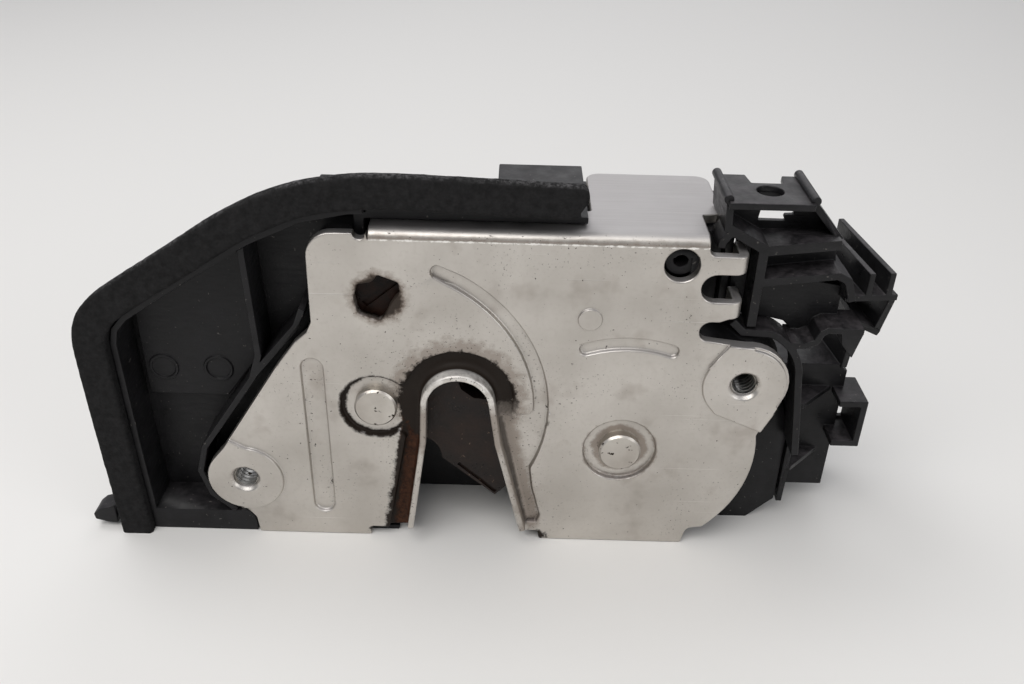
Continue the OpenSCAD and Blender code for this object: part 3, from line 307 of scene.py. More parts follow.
def film_and_bend_reflection(finish, on, leg, highlit_arch_wall):
    """Film that has crept out of the torn hole, the mouth and the pawl rivet, and a painted dark reflection
    just above the bend's foot.
    """
    mouth = share(finish, drawn(finish, on, mouth_film), opposite(finish, highlit_arch_wall))
    pawl_far = torn(finish, far_from(finish, on.flat, pawl_axis), on.ragged, 0.5 * MM)
    pawl = most(finish, thin_ring(finish, pawl_far, radius=5.0, full=0.4, gone=1.1, strength=0.9),
                thin_ring(finish, pawl_far, radius=7.4, full=0.1, gone=0.5, strength=0.7))
    # A painted dark reflection on the lower part of the bend
    bend_z = bend_foot[0].z
    bend = share(finish, drawn(finish, on, bend_dark_reflection),
                 between(finish, on.height, bend_z - 0.1 * MM, bend_z + 0.4 * MM))
    patches = between(finish, grain(finish, on.where, 95, 3, 0.6), 0.57, 0.72, 0, 0.25)
    patches = share(finish, patches, opposite(finish, on.top))
    strengths = [(drawn(finish, on, hole_film), 0.75), (mouth, 0.45), (leg, 0.95),
                 (drawn(finish, on, right_leg_film), 0.5), (pawl, 0.6), (bend, 0.6)]
    return most(finish, patches, *(share(finish, mask, strength) for mask, strength in strengths))


def wear_and_painted_highlight(finish, on, highlit_arch_wall):
    """Pale bare line where the bend begins and pale patches on the arch wall: worn metal, painted pale as
    highlights.
    """
    line = drawn(finish, on, bend_wear_highlight, grain(finish, on.where, 620, 4, 0.7))
    line = share(finish, line, between(finish, on.depth, 1.0 * MM, 0.4 * MM, 0, 1))
    rubbed_and_lit = between(finish, grain(finish, on.where, 420, 4, 0.7), 0.35, 0.6, 0.1, 0.75)
    return most(finish, line, share(finish, highlit_arch_wall, rubbed_and_lit))


def black_specks(finish, on):
    """Crumbs and fine specks, thick near the mouth and its legs, few on top of the flange."""
    seldom = between(finish, grain(finish, on.where, 1700, 1, 0.5), 0.735, 0.765)
    crumbs = between(finish, grain(finish, on.where, 640, 3, 0.6), 0.725, 0.745)
    fine = between(finish, grain(finish, on.where, 1900, 2, 0.6), 0.64, 0.68)
    swarms = between(finish, grain(finish, on.where, 75, 3, 0.6), 0.52, 0.66, 0, 0.85)
    fields = most(finish, *(drawn(finish, on, field) for field in speck_fields))
    dense = share(finish, fine, most(finish, fields, swarms))
    specks = most(finish, seldom, crumbs, dense)
    return share(finish, specks, opposite(finish, share(finish, on.top, 0.85)))


def grease_ring(finish, on):
    """Ring of grease over the mouth, which runs 10 mm lower at the left than at the right."""
    full, gone = 11.7 * MM, 12.5 * MM
    left_end, right_end = -11 * MM, -1 * MM
    far = torn(finish, far_from(finish, on.flat, grease_axis), on.ragged, 0.7 * MM)
    far = torn(finish, far, grain(finish, on.where, 1000, 4, 0.7), 0.6 * MM)
    ring = between(finish, far, full, gone, 1, 0)
    left = between(finish, on.across, -3 * MM, 3 * MM, 1, 0)
    end = between(finish, left, 0, 1, right_end, left_end)
    above_end = torn(finish, combine(finish, "SUBTRACT", on.height, end), on.ragged, 2 * MM)
    return share(finish, ring, between(finish, above_end, -4 * MM, 4 * MM))


def rivet_grease_and_shade(finish, on):
    """Dark ring between the catch rivet's head and its recess's edge, thicker on one side: painted shade of
    the recess wall, with grease.
    """
    head_edge, recess_edge = 6.2 * MM, 7.3 * MM
    fade = 0.5 * MM
    off_axis = catch_axis + on_plate(0.3, 0.1)
    outer = torn(finish, far_from(finish, on.flat, catch_axis), on.ragged, 0.35 * MM)
    inner = torn(finish, far_from(finish, on.flat, off_axis), on.ragged, 0.35 * MM)
    return share(finish, between(finish, outer, recess_edge, recess_edge + fade, 1, 0),
                 between(finish, inner, head_edge, head_edge + fade))


def grease_lines_and_shade(finish, on, highlit_arch_wall):
    """Black grease over the mouth and round the torn hole, dark lines along the left gutter's edge and the
    rim's right root, painted shade in the catch rivet's recess and in grooves, and painted shadow at the
    plate's foot.
    """
    root = share(finish, drawn(finish, on, right_root_line), 0.75)
    hole = share(finish, drawn(finish, on, hole_grease), 0.9)
    gutters = [drawn(finish, on, mark) for mark in gutter_line_and_foot_shadow]
    # The grease mask also holds the dark lines, the painted shade in the rivet's recess and the painted
    # shadow at the foot
    grease = most(finish, grease_ring(finish, on), *gutters, root, rivet_grease_and_shade(finish, on), hole)
    grease = share(finish, grease, on.behind_rim)
    # Painted shade in the plate's own grooves and corners, found by occlusion and broken by a noise
    grooves = share(finish, crevices(finish, 1.3 * MM),
                    between(finish, grain(finish, on.where, 350, 4, 0.65), 0.3, 0.6, 0.35, 1))
    grooves = share(finish, grooves, opposite(finish, highlit_arch_wall))
    return most(finish, grease, share(finish, grooves, 0.8))


def zinc_plate_finish():
    """Zinc plated pressing: satin silver under scratches, brown film, specks and black grease, with painted
    shade, shadow, dark reflection and highlights.
    """
    finish, shader = start_finish("zinc_plated_pressing", specular=0.18)
    on = plate_places(finish)
    fine = grain(finish, on.where, 1100, 3)
    scratches = crossed_scratches(finish, on)
    # The arch rim's upper wall gets a painted highlight, and neither film nor groove shade
    highlit_arch_wall = arch_wall_highlight(finish, on)
    leg = share(finish, drawn(finish, on, left_leg_film), on.behind_rim)
    # Brown film, with a painted dark reflection along the bend
    film = film_and_bend_reflection(finish, on, leg, highlit_arch_wall)
    worn_and_lit = wear_and_painted_highlight(finish, on, highlit_arch_wall)
    # Grease and dark lines, with painted shade in grooves and the rivet's recess and painted shadow at the
    # foot
    grease = grease_lines_and_shade(finish, on, highlit_arch_wall)
    dark = most(finish, grease, share(finish, black_specks(finish, on), 0.85))

    soaked = between(finish, grain(finish, on.where, 900, 4, 0.7), 0.35, 0.65)
    soaked = paint(finish, soaked, soaked_dark, soaked_brown)
    colour = plate_metal(finish, on, fine)
    # The pale zinc over the worn bend line and the arch wall is a painted highlight
    for mask, over in ((share(finish, scratches, 0.35), bare_scratch), (film, film_and_reflection_brown), (leg, soaked),
                       (share(finish, worn_and_lit, 0.9), bare_highlight_zinc), (dark, grease_and_shade_black)):
        colour = paint(finish, mask, colour, over)
    join(finish, colour, shader, "Base Color")
    covered = most(finish, dark, share(finish, film, 0.6), share(finish, worn_and_lit, 0.8))
    join(finish, opposite(finish, covered), shader, "Metallic")

    rough = between(finish, grain(finish, on.where, 160, 4), 0.3, 0.7, 0.3, 0.4)
    for mask, duller in ((film, 0.12), (grease, 0.12), (on.top, 0.24)):
        rough = combine(finish, "ADD", rough, share(finish, mask, duller))
    join(finish, rough, shader, "Roughness")
    lumps = share(finish, dark, grain(finish, on.where, 700, 4, 0.6))
    height = combine(finish, "ADD", share(finish, fine, 0.25), share(finish, lumps, 1.1))
    height = combine(finish, "SUBTRACT", height, share(finish, scratches, 0.25))
    relief(finish, shader, height, 0.12 * MM, 0.6)
    return finish


# Finishes of the other pieces

def steel_finish(name, light, dark, rough_low, rough_high):
    """Steel of the inner pieces and screws: turned or blanked, with a little oil."""
    finish, shader = start_finish(name, metallic=1.0)
    where = surface(finish)
    cloud = grain(finish, where, 120, 4)
    fine = grain(finish, where, 1100, 3)
    colour = paint(finish, between(finish, cloud, 0.35, 0.68), light, dark)
    specks = between(finish, grain(finish, where, 700, 2, 0.6), 0.66, 0.71)
    oil_brown = (0.03, 0.022, 0.016, 1)
    colour = paint(finish, specks, colour, oil_brown)
    join(finish, colour, shader, "Base Color")
    join(finish, between(finish, fine, 0.3, 0.7, rough_low, rough_high), shader, "Roughness")
    relief(finish, shader, fine, 0.05 * MM, 0.5)
    return finish


def moulding_finish(name, tone, rough_low, rough_high, dust=0.25):
    """Black glass filled moulding: fibre mottle, fine grain, dust on what faces up, painted shade in
    corners.
    """
    dust_grey = (0.15, 0.135, 0.145, 1)
    grit_grey = (0.26, 0.24, 0.22, 1)
    corner_shade_black = (0.004, 0.0038, 0.0038, 1)
    pale = tuple(2.0 * part for part in tone[:3]) + (1,)
    finish, shader = start_finish(name, specular=0.24)
    where = surface(finish)
    mottle = grain(finish, where, 260, 5, 0.65)
    fibre = grain(finish, stretched(finish, where, 35, (260, 260, 1900)), 1.0, 2)
    colour = paint(finish, between(finish, mottle, 0.35, 0.7), tone, pale)
    settled = between(finish, grain(finish, where, 420, 5, 0.7), 0.4, 0.72, 0.1 * dust, dust)
    lying = share(finish, facing_up(finish), settled)
    colour = paint(finish, lying, colour, dust_grey)
    grit = between(finish, grain(finish, where, 1200, 2, 0.6), 0.7, 0.73)
    colour = paint(finish, share(finish, grit, 0.3), colour, grit_grey)
    # Painted shade in the piece's corners and grooves
    corners = share(finish, crevices(finish, 2.5 * MM), 0.6)
    colour = paint(finish, corners, colour, corner_shade_black)
    join(finish, colour, shader, "Base Color")
    rough = between(finish, mottle, 0.3, 0.7, rough_low, rough_high)
    rough = combine(finish, "ADD", rough, between(finish, fibre, 0.35, 0.75, -0.05, 0.08))
    rough = combine(finish, "ADD", rough, share(finish, lying, 0.4))
    join(finish, rough, shader, "Roughness")
    height = combine(finish, "ADD", grain(finish, where, 1500, 3), share(finish, fibre, 0.6))
    relief(finish, shader, height, 0.06 * MM, 0.45)
    return finish


def greasy_overmould_finish():
    """The catch's plastic skin under old brown-black grease, with small painted highlights."""
    grease_dark = (0.01, 0.007, 0.006, 1)
    grease_brown = (0.026, 0.015, 0.011, 1)
    painted_glint_brown = (0.25, 0.17, 0.12, 1)
    finish, shader = start_finish("greasy_overmould", specular=0.25)
    where = surface(finish)
    smear = grain(finish, where, 190, 5, 0.6)
    lumps = grain(finish, where, 420, 4, 0.6)
    colour = paint(finish, between(finish, smear, 0.35, 0.7), grease_dark, grease_brown)
    # Pale brown specks are painted highlights on the grease
    painted_glints = between(finish, grain(finish, where, 800, 2, 0.6), 0.68, 0.71)
    colour = paint(finish, share(finish, painted_glints, 0.5), colour, painted_glint_brown)
    join(finish, colour, shader, "Base Color")
    join(finish, between(finish, smear, 0.3, 0.7, 0.22, 0.5), shader, "Roughness")
    relief(finish, shader, combine(finish, "ADD", lumps, smear), 0.25 * MM, 0.6)
    return finish


def foam_finish():
    """Closed cell foam: nearly black, fine pores, speckled grey on what faces up: wear, with a painted
    highlight.
    """
    foam_black = (0.009, 0.0088, 0.009, 1)
    foam_grey = (0.02, 0.0195, 0.02, 1)
    wear_and_highlight_grey = (0.17, 0.165, 0.17, 1)
    finish, shader = start_finish("sealing_foam", specular=0.12)
    where = surface(finish)
    cells = put(finish, "TexVoronoi", {"Vector": where, "Scale": 1500, "Randomness": 1.0})
    lumps = grain(finish, where, 900, 4, 0.65)
    colour = paint(finish, between(finish, lumps, 0.35, 0.7), foam_black, foam_grey)
    speckle = between(finish, grain(finish, where, 1100, 4, 0.75), 0.42, 0.62)
    patch = between(finish, grain(finish, where, 130, 3), 0.35, 0.65, 0.25, 1)
    # Speckled grey on what faces up is wear and a painted highlight
    worn_and_lit = share(finish, share(finish, facing_up(finish, 0.45, 0.97), speckle), patch)
    colour = paint(finish, share(finish, worn_and_lit, 0.6), colour, wear_and_highlight_grey)
    join(finish, colour, shader, "Base Color")
    join(finish, between(finish, lumps, 0.3, 0.7, 0.8, 0.95), shader, "Roughness")
    height = combine(finish, "ADD", cells.outputs["Distance"], share(finish, lumps, 1.2))
    relief(finish, shader, height, 0.2 * MM, 0.7)
    return finish


def pale_finish(name, tone):
    """Natural white plastic of the gears and the lock lever, greased in patches."""
    grease_yellow = (0.42, 0.33, 0.2, 1)
    shaded = tuple(0.9 * part for part in tone[:3]) + (1,)
    finish, shader = start_finish(name)
    shader.inputs["Roughness"].default_value = 0.42
    where = surface(finish)
    mottle = grain(finish, where, 200, 4)
    greased = between(finish, grain(finish, where, 90, 4, 0.6), 0.55, 0.68, 0, 0.6)
    colour = paint(finish, between(finish, mottle, 0.3, 0.7), tone, shaded)
    colour = paint(finish, greased, colour, grease_yellow)
    join(finish, colour, shader, "Base Color")
    relief(finish, shader, mottle, 0.05 * MM, 0.4)
    return finish


def rubber_finish():
    """Matte black rubber of the striker's bumper."""
    rubber_black = (0.012, 0.012, 0.012, 1)
    rubber_grey = (0.035, 0.033, 0.032, 1)
    finish, shader = start_finish("bumper_rubber", specular=0.3)
    shader.inputs["Roughness"].default_value = 0.8
    lumps = grain(finish, surface(finish), 500, 4)
    colour = paint(finish, between(finish, lumps, 0.35, 0.7), rubber_black, rubber_grey)
    join(finish, colour, shader, "Base Color")
    relief(finish, shader, lumps, 0.1 * MM, 0.5)
    return finish


def contact_finish():
    """Tinned brass blades."""
    brass_bright = (0.82, 0.72, 0.46, 1)
    brass_dull = (0.6, 0.5, 0.3, 1)
    finish, shader = start_finish("tinned_brass", metallic=1.0)
    shader.inputs["Roughness"].default_value = 0.3
    dull = between(finish, grain(finish, surface(finish), 500, 4), 0.4, 0.7)
    join(finish, paint(finish, dull, brass_bright, brass_dull), shader, "Base Color")
    relief(finish, shader, dull, 0.02 * MM, 0.4)
    return finish


def dial_stain_and_shade_finish():
    """Dark plastic behind the torn hole, soaked with brown grease, and darkened further as painted shade
    inside the hole.
    """
    stain_and_shade_black = (0.004, 0.0025, 0.002, 1)
    stain_brown = (0.018, 0.008, 0.005, 1)
    finish, shader = start_finish("shaded_stained_dial", specular=0.12)
    soak = grain(finish, surface(finish), 350, 4, 0.65)
    # Both tones are dark partly as painted shade inside the hole
    colour = paint(finish, between(finish, soak, 0.35, 0.7), stain_and_shade_black, stain_brown)
    join(finish, colour, shader, "Base Color")
    join(finish, between(finish, soak, 0.3, 0.7, 0.2, 0.5), shader, "Roughness")
    relief(finish, shader, soak, 0.3 * MM, 0.7)
    return finish


zinc_plate = zinc_plate_finish()
rivet_steel = steel_finish("rivet_steel", light=(0.6, 0.57, 0.525, 1), dark=(0.46, 0.425, 0.385, 1),
                           rough_low=0.32, rough_high=0.48)
oiled_steel = steel_finish("oiled_steel", light=(0.3, 0.29, 0.28, 1), dark=(0.17, 0.16, 0.155, 1),
                           rough_low=0.3, rough_high=0.5)
bright_steel = steel_finish("bright_steel", light=(0.7, 0.7, 0.69, 1), dark=(0.5, 0.49, 0.47, 1),
                            rough_low=0.25, rough_high=0.4)
motor_can = steel_finish("motor_can", light=(0.66, 0.65, 0.63, 1), dark=(0.52, 0.51, 0.49, 1),
                         rough_low=0.22, rough_high=0.34)
case_black = moulding_finish("case_black", tone=(0.0068, 0.0066, 0.0072, 1),
                             rough_low=0.34, rough_high=0.52, dust=0.16)
bracket_black = moulding_finish("bracket_black", tone=(0.0068, 0.0066, 0.0072, 1),
                                rough_low=0.28, rough_high=0.46, dust=0.4)
cover_black = moulding_finish("cover_black", tone=(0.0075, 0.0073, 0.008, 1),
                              rough_low=0.36, rough_high=0.54)
switch_black = moulding_finish("switch_black", tone=(0.014, 0.014, 0.015, 1),
                               rough_low=0.35, rough_high=0.5)
catch_skin = greasy_overmould_finish()
foam_skin = foam_finish()
gear_white = pale_finish("gear_white", (0.8, 0.78, 0.7, 1))
worm_cream = pale_finish("worm_cream", (0.78, 0.7, 0.5, 1))
bumper_rubber = rubber_finish()
tinned_brass = contact_finish()
dial_stain_and_shade = dial_stain_and_shade_finish()

finish_of = {
    "lock_plate": zinc_plate, "catch_rivet": rivet_steel, "pawl_rivet": rivet_steel,
    "catch_core": oiled_steel, "catch_cover": catch_skin, "pawl_core": oiled_steel,
    "pawl_cover": catch_skin, "back_plate": bright_steel, "housing": case_black,
    "seal_strip": foam_skin, "striker_bumper": bumper_rubber, "end_bracket": bracket_black,
    "rear_cover": cover_black, "child_lock_dial": dial_stain_and_shade, "release_lever": bright_steel,
    "outside_lever": bright_steel, "inside_lever": bright_steel, "lever_pin": bright_steel,
    "lever_washers": oiled_steel, "lever_clip": oiled_steel, "catch_spring": oiled_steel,
    "pawl_spring": oiled_steel, "lock_motor": motor_can, "motor_shaft": oiled_steel,
    "motor_worm": worm_cream, "worm_wheel": gear_white, "wheel_axle": bright_steel,
    "lock_lever": gear_white, "lock_pin": bright_steel, "ajar_switch": switch_black,
    "lock_switch": switch_black, "circuit_carrier": switch_black, "connector_pins": tinned_brass,
    "cover_screws": bright_steel, "bracket_screws": bright_steel,
}
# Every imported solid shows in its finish
for node, finish in finish_of.items():
    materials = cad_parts[node].data.materials
    if not materials:
        materials.append(finish)
    for i in range(len(materials)):
        materials[i] = finish


# Pieces

# Rounding of edges: faces that turn by more than corner_turn meet in an edge to be rounded, and up to
# smooth_turn they are shaded as one. A rounding takes room_taken of the room beside it, and an edge with
# room for less than least_share of the width stays sharp. A point of the rounded piece is a stray where
# it is farther than stray_limit widths from the form.
corner_turn = math.radians(28)
smooth_turn = math.radians(50)
straight_turn = math.radians(150)
widest_turn = 3.1
room_taken = 0.45
least_share = 0.2
stray_limit = 0.6
trials = 4
tiny_gap = 1e-7
tiny_square = 1e-18


def take(*pieces):
    """Selects only these pieces, the first one active."""
    bpy.ops.object.select_all(action="DESELECT")
    for piece in pieces:
        piece.select_set(True)
    bpy.context.view_layer.objects.active = pieces[0]


def apply_all(piece):
    """Applies every modifier of a piece."""
    take(piece)
    for modifier in list(piece.modifiers):
        bpy.ops.object.modifier_apply(modifier=modifier.name)


def merged_copy(node, name):
    """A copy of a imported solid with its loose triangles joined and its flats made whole."""
    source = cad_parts[node]
    piece = bpy.data.objects.new(name, source.data.copy())
    bpy.context.scene.collection.objects.link(piece)
    take(piece)
    bpy.ops.object.mode_set(mode="EDIT")
    bpy.ops.mesh.select_all(action="SELECT")
    bpy.ops.mesh.remove_doubles(threshold=0.002 * MM)
    bpy.ops.mesh.dissolve_limited(angle_limit=math.radians(0.5))
    bpy.ops.object.mode_set(mode="OBJECT")
    piece.data.materials.clear()
    piece.data.materials.append(finish_of[node])
    return piece


def room_beside(edge, sharp):
    """Widest rounding of this edge that stays clear of its neighbours' ends."""
    room = 1.0
    for face in edge.link_faces:
        for corner in edge.verts:
            for other in corner.link_edges:
                if other is edge or other not in face.edges:
                    continue
                a = edge.other_vert(corner).co - corner.co
                b = other.other_vert(corner).co - corner.co
                turn = a.angle(b, 0)
                if other in sharp:
                    half = math.tan(min(turn, widest_turn) / 2)
                    room = min(room, room_taken * min(a.length, b.length) * half)
                elif turn < straight_turn:
                    room = min(room, room_taken * b.length * math.sin(turn))
    return room


def room_across(net, sharp):
    """Nearly half of the gap between each sharp edge and the far side of its own faces."""
    room = {}
    for face in net.faces:
        if len(face.verts) < 5:
            continue
        loops = list(face.loops)
        spots = np.array([loop.vert.co for loop in loops])
        ends = np.roll(spots, -1, axis=0)
        lengths = np.linalg.norm(ends - spots, axis=1)
        along = np.concatenate(([0.0], np.cumsum(lengths)))[:-1]
        whole = lengths.sum()
        for i, loop in enumerate(loops):
            if loop.edge not in sharp:
                continue
            run = ends[i] - spots[i]
            part = np.clip((spots - spots[i]) @ run / max(run @ run, tiny_square), 0, 1)
            gap = np.linalg.norm(spots - spots[i] - part[:, None] * run, axis=1)
            path = np.minimum((along - along[i] - lengths[i]) % whole, (along[i] - along) % whole)
            facing = gap[(gap > tiny_gap) & (gap < 0.5 * path)]
            if len(facing):
                half = room_taken * facing.min()
                room[loop.edge] = min(room.get(loop.edge, 1.0), half)
    return room


def away_from(edge, place):
    """Distance from a place to an edge."""
    a, b = (corner.co for corner in edge.verts)
    run = b - a
    part = max(0.0, min(1.0, (place - a).dot(run) / max(run.length_squared, tiny_square)))
    return (a + part * run - place).length


def round_edges(raw, width, steps, keep_sharp, plain_depths):
    """Copy of a merged solid with its edges rounded as far as there is room.

    Edges near the keep_sharp places and those that lie in a plane of plain_depths stay as they are.
    """
    piece = raw.copy()
    piece.data = raw.data.copy()
    bpy.context.scene.collection.objects.link(piece)
    net = bmesh.new()
    net.from_mesh(piece.data)
    weight = net.edges.layers.float.new("bevel_weight_edge")
    sharp = {edge for edge in net.edges if edge.calc_face_angle(0) > corner_turn}
    across = room_across(net, sharp)
    for edge in sharp:
        room = min(1.0, room_beside(edge, sharp) / width, across.get(edge, 1.0) / width)
        hidden = any(max(abs(end.co.y - y * MM) for end in edge.verts) < 0.01 * MM for y in plain_depths)
        near = any(away_from(edge, place) < reach for place, reach in keep_sharp)
        edge[weight] = 0.0 if hidden or near or room < least_share else room
    net.to_mesh(piece.data)
    net.free()
    rounding = piece.modifiers.new("rounding", "BEVEL")
    rounding.width = width
    rounding.segments = steps
    rounding.limit_method = "WEIGHT"
    rounding.use_clamp_overlap = False
    rounding.miter_outer = "MITER_ARC"
    apply_all(piece)
    return piece


def heal_flats(piece):
    """Cuts each flat whose border crosses itself into triangles that all face outwards."""
    inside_only = 1
    same_spot = 1e-4
    whole = 1.001
    tiny_area = 1e-9
    net = bmesh.new()
    net.from_mesh(piece.data)
    covered = {}
    for corners in net.calc_loop_triangles():
        a, b, c = (corner.vert.co for corner in corners)
        face = corners[0].face
        covered[face] = covered.get(face, 0.0) + (b - a).cross(c - a).length / 2
    crossed = [face for face, area in covered.items() if area > whole * face.calc_area() + tiny_area]
    for face in crossed:
        out = face.normal.copy()
        side = out.orthogonal().normalized()
        other = out.cross(side)
        border = list(face.verts)
        level = sum(corner.co.dot(out) for corner in border) / len(border)
        flat = [Vector((corner.co.dot(side), corner.co.dot(other))) / MM for corner in border]
        border_order = [list(range(len(flat)))]
        cut = delaunay_2d_cdt(flat, [], border_order, inside_only, same_spot)
        spots, parts, origins = cut[0], cut[2], cut[3]
        ends = []
        for spot, origin in zip(spots, origins):
            if origin:
                ends.append(border[origin[0]])
            else:
                ends.append(net.verts.new(spot.x * MM * side + spot.y * MM * other + level * out))
        for part in parts:
            corners = [ends[i] for i in part]
            if len(set(corners)) == 3 and not net.faces.get(corners):
                net.faces.new(corners)
    bmesh.ops.delete(net, geom=crossed, context="FACES_ONLY")
    net.to_mesh(piece.data)
    net.free()


def pressed(node, name, width, steps, plain_depths, shape):
    """The same form with its edges rounded, as pressing or moulding leaves them.

    Where a rounded corner strays from the form, the edges near it are left sharp and the piece is
    made again, each time with more of them spared.
    """
    raw = merged_copy(node, name + "_sharp")
    if shape:
        shape(raw)
    form = BVHTree.FromPolygons([spot.co for spot in raw.data.vertices],
                                [face.vertices for face in raw.data.polygons])
    keep_sharp = []
    for trial in range(trials):
        piece = round_edges(raw, width, steps, keep_sharp, plain_depths)
        strays = []
        spared = (1.5 + 3 * trial) * width
        for spot in piece.data.vertices:
            off = form.find_nearest(spot.co)[3]
            if off > stray_limit * width:
                strays.append((spot.co.copy(), off + spared))
        if not strays or trial == trials - 1:
            break
        keep_sharp += strays
        bpy.data.objects.remove(piece)
    bpy.data.objects.remove(raw)
    heal_flats(piece)
    piece.name = name
    take(piece)
    bpy.ops.object.shade_smooth_by_angle(angle=smooth_turn)
    even = piece.modifiers.new("even", "WEIGHTED_NORMAL")
    even.keep_sharp = True
    apply_all(piece)
    return piece


def settle(piece, node):
    """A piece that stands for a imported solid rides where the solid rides."""
    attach(piece, "lock_case")
    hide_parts(node)


def dress(node, name, width, steps=2, plain_depths=(), shape=None):
    """Puts a pressed copy in the place of its solid. Width and depths are in millimetres."""
    settle(pressed(node, name, width * MM, steps, plain_depths, shape), node)


# Foam seal, in millimetres: its inner line from the right end over the top and down to the foot, the
# spacing of its sections, its play to the wall, and the slanting cut and round corner of its right end
seal_line = [(23, 42.5), (21.3, 42.6), (0.5, 43.3), (-12, 43.6), (-20, 43.2), (-29.2, 41.2),
             (-39.1, 36.6), (-49, 30.1), (-58.9, 23.6), (-64.6, 19.6), (-67, 16.8), (-67.8, 13.4),
             (-67.3, -12), (-66.6, -33.5)]
seal_top = max(z for x, z in seal_line)
seal_step = 0.55
seal_play = 0.02
cut_depth = 3.6
cut_run = 1.8
end_corner = 1.4


def smooth_line(points, step):
    """Points every step millimetres along a smooth curve through the given ones."""
    knots = [Vector(point) for point in points]
    ends = [2 * knots[0] - knots[1]] + knots + [2 * knots[-1] - knots[-2]]
    line = []
    for before, a, b, after in zip(ends, ends[1:], ends[2:], ends[3:]):
        span = (b - a).length
        lead = (b - before) * span / ((b - a).length + (a - before).length)
        trail = (after - a) * span / ((after - b).length + span)
        count = max(1, round(span / step))
        for i in range(count):
            t = i / count
            line.append((2 * t**3 - 3 * t**2 + 1) * a + (t**3 - 2 * t**2 + t) * lead
                        + (3 * t**2 - 2 * t**3) * b + (t**3 - t**2) * trail)
    return line + [knots[-1]]


def rounded(corners):
    """Closed outline through corners given as (x, y, radius), with points about a step apart."""
    arc_steps = 5
    outline = []
    for i, (x, y, radius) in enumerate(corners):
        here = Vector((x, y))
        before = (Vector(corners[i - 1][:2]) - here).normalized()
        after = (Vector(corners[(i + 1) % len(corners)][:2]) - here).normalized()
        half = before.angle(after) / 2
        centre = here + (before + after).normalized() * radius / math.sin(half)
        start = here + before * radius / math.tan(half) - centre
        end = here + after * radius / math.tan(half) - centre
        for j in range(arc_steps + 1):
            outline.append(centre + start.lerp(end, j / arc_steps).normalized() * radius)
    filled = []
    for a, b in zip(outline, outline[1:] + outline[:1]):
        parts = max(1, round((b - a).length / seal_step))
        filled += [a.lerp(b, j / parts) for j in range(parts)]
    return filled


def outward(before, after):
    """Direction away from the wing, across the line between two of its points."""
    along = (after - before).normalized()
    return Vector((along.y, -along.x))


def foam_section(gone, width, front, back):
    """Outline of the foam this far from its right end: crest near the front, falling to the back."""
    crest_depth = 1.9
    back_fall = 2.3
    full_height = 4
    inner = seal_play + cut_depth * max(0.0, 1 - gone / cut_run)
    outer = width - end_corner * (1 - math.sqrt(1 - max(0.0, 1 - gone / end_corner) ** 2))
    tight = min(1.0, (outer - inner) / full_height)
    crest = [(outer, front, 0.9 * tight), (outer, front + crest_depth, 0.6 * tight)]
    foot = [(outer - back_fall * tight, back, 0.3), (inner, back, 0.2), (inner, front, 0.8 * tight)]
    return rounded(crest + foot)


def foam_seal():
    """Foam band: a rounded section led along the wing's border, with a lumpy, pored skin."""
    low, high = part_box("seal_strip")
    width = high.z / MM - seal_top
    line = smooth_line(seal_line, seal_step)
    net = bmesh.new()
    rings = []
    gone = 0.0
    for i, here in enumerate(line):
        out = outward(line[max(i - 1, 0)], line[min(i + 1, len(line) - 1)])
        if i:
            gone += (here - line[i - 1]).length
        ring = []
        for across, deep in foam_section(gone, width, low.y / MM, high.y / MM):
            spot = here + across * out
            ring.append(net.verts.new(Vector((spot.x, deep, spot.y)) * MM))
        rings.append(ring)
    for ring, after in zip(rings, rings[1:]):
        for j in range(len(ring)):
            k = (j + 1) % len(ring)
            net.faces.new((ring[j], ring[k], after[k], after[j]))
    net.faces.new(rings[0])
    net.faces.new(rings[-1])
    bmesh.ops.recalc_face_normals(net, faces=net.faces[:])
    form = bpy.data.meshes.new("foam_seal")
    net.to_mesh(form)
    net.free()
    band = bpy.data.objects.new("foam_seal", form)
    bpy.context.scene.collection.objects.link(band)
    for name, size, strength in (("dents", 3.6, 0.14), ("pores", 0.9, 0.1)):
        clouds = bpy.data.textures.new("foam_" + name, "CLOUDS")
        clouds.noise_scale = size * MM
        clouds.noise_depth = 2
        rough = band.modifiers.new(name, "DISPLACE")
        rough.texture = clouds
        rough.texture_coords = "LOCAL"
        rough.strength = strength * MM
        rough.mid_level = 0.6
    apply_all(band)
    band.data.materials.append(foam_skin)
    take(band)
    bpy.ops.object.shade_smooth()
    settle(band, "seal_strip")


def wall_behind_foam(case):
    """Sets the wall behind the foam back under the foam's crest, where the photo hides it.

    The wall is known by its depth and by how far its face lies outside the foam's inner line.
    """
    wall_front, wall_back = 3.4, 5.4
    face_near, face_far = 5.2, 5.95
    new_face = 2.9
    line = smooth_line(seal_line, seal_step)
    for spot in case.data.vertices:
        if not wall_front * MM < spot.co.y < wall_back * MM:
            continue
        here = Vector((spot.co.x, spot.co.z)) / MM
        i = min(range(1, len(line)), key=lambda j: (line[j] - here).length)
        out = outward(line[i - 1], line[i])
        reach = (here - line[i]).dot(out)
        if face_near < reach < face_far:
            spot.co.x -= (reach - new_face) * out.x * MM
            spot.co.z -= (reach - new_face) * out.y * MM


def sloped_dome(cover):
    """Slopes the raised part of the cover down to the back. The photo shows nothing of it over the foam."""
    # From and to which depth, above which level, and how much of the height over it stays, in millimetres
    back_edge = (39.5, 50, 32, 0.25)
    rim_edge = (37.5, 38.5, 30, 0.45)
    for spot in cover.data.vertices:
        for front, back, level, height_kept in (back_edge, rim_edge):
            y, z = spot.co.y / MM, spot.co.z / MM
            if front < y < back and z > level:
                spot.co.z = (level + height_kept * (z - level)) * MM


# Threads of the tapped holes, in millimetres
thread_radius = 2.5
thread_pitch = 1.0
thread_turns = 6
first_turn = 0.55
ridge_size = 0.44
steps_per_turn = 36


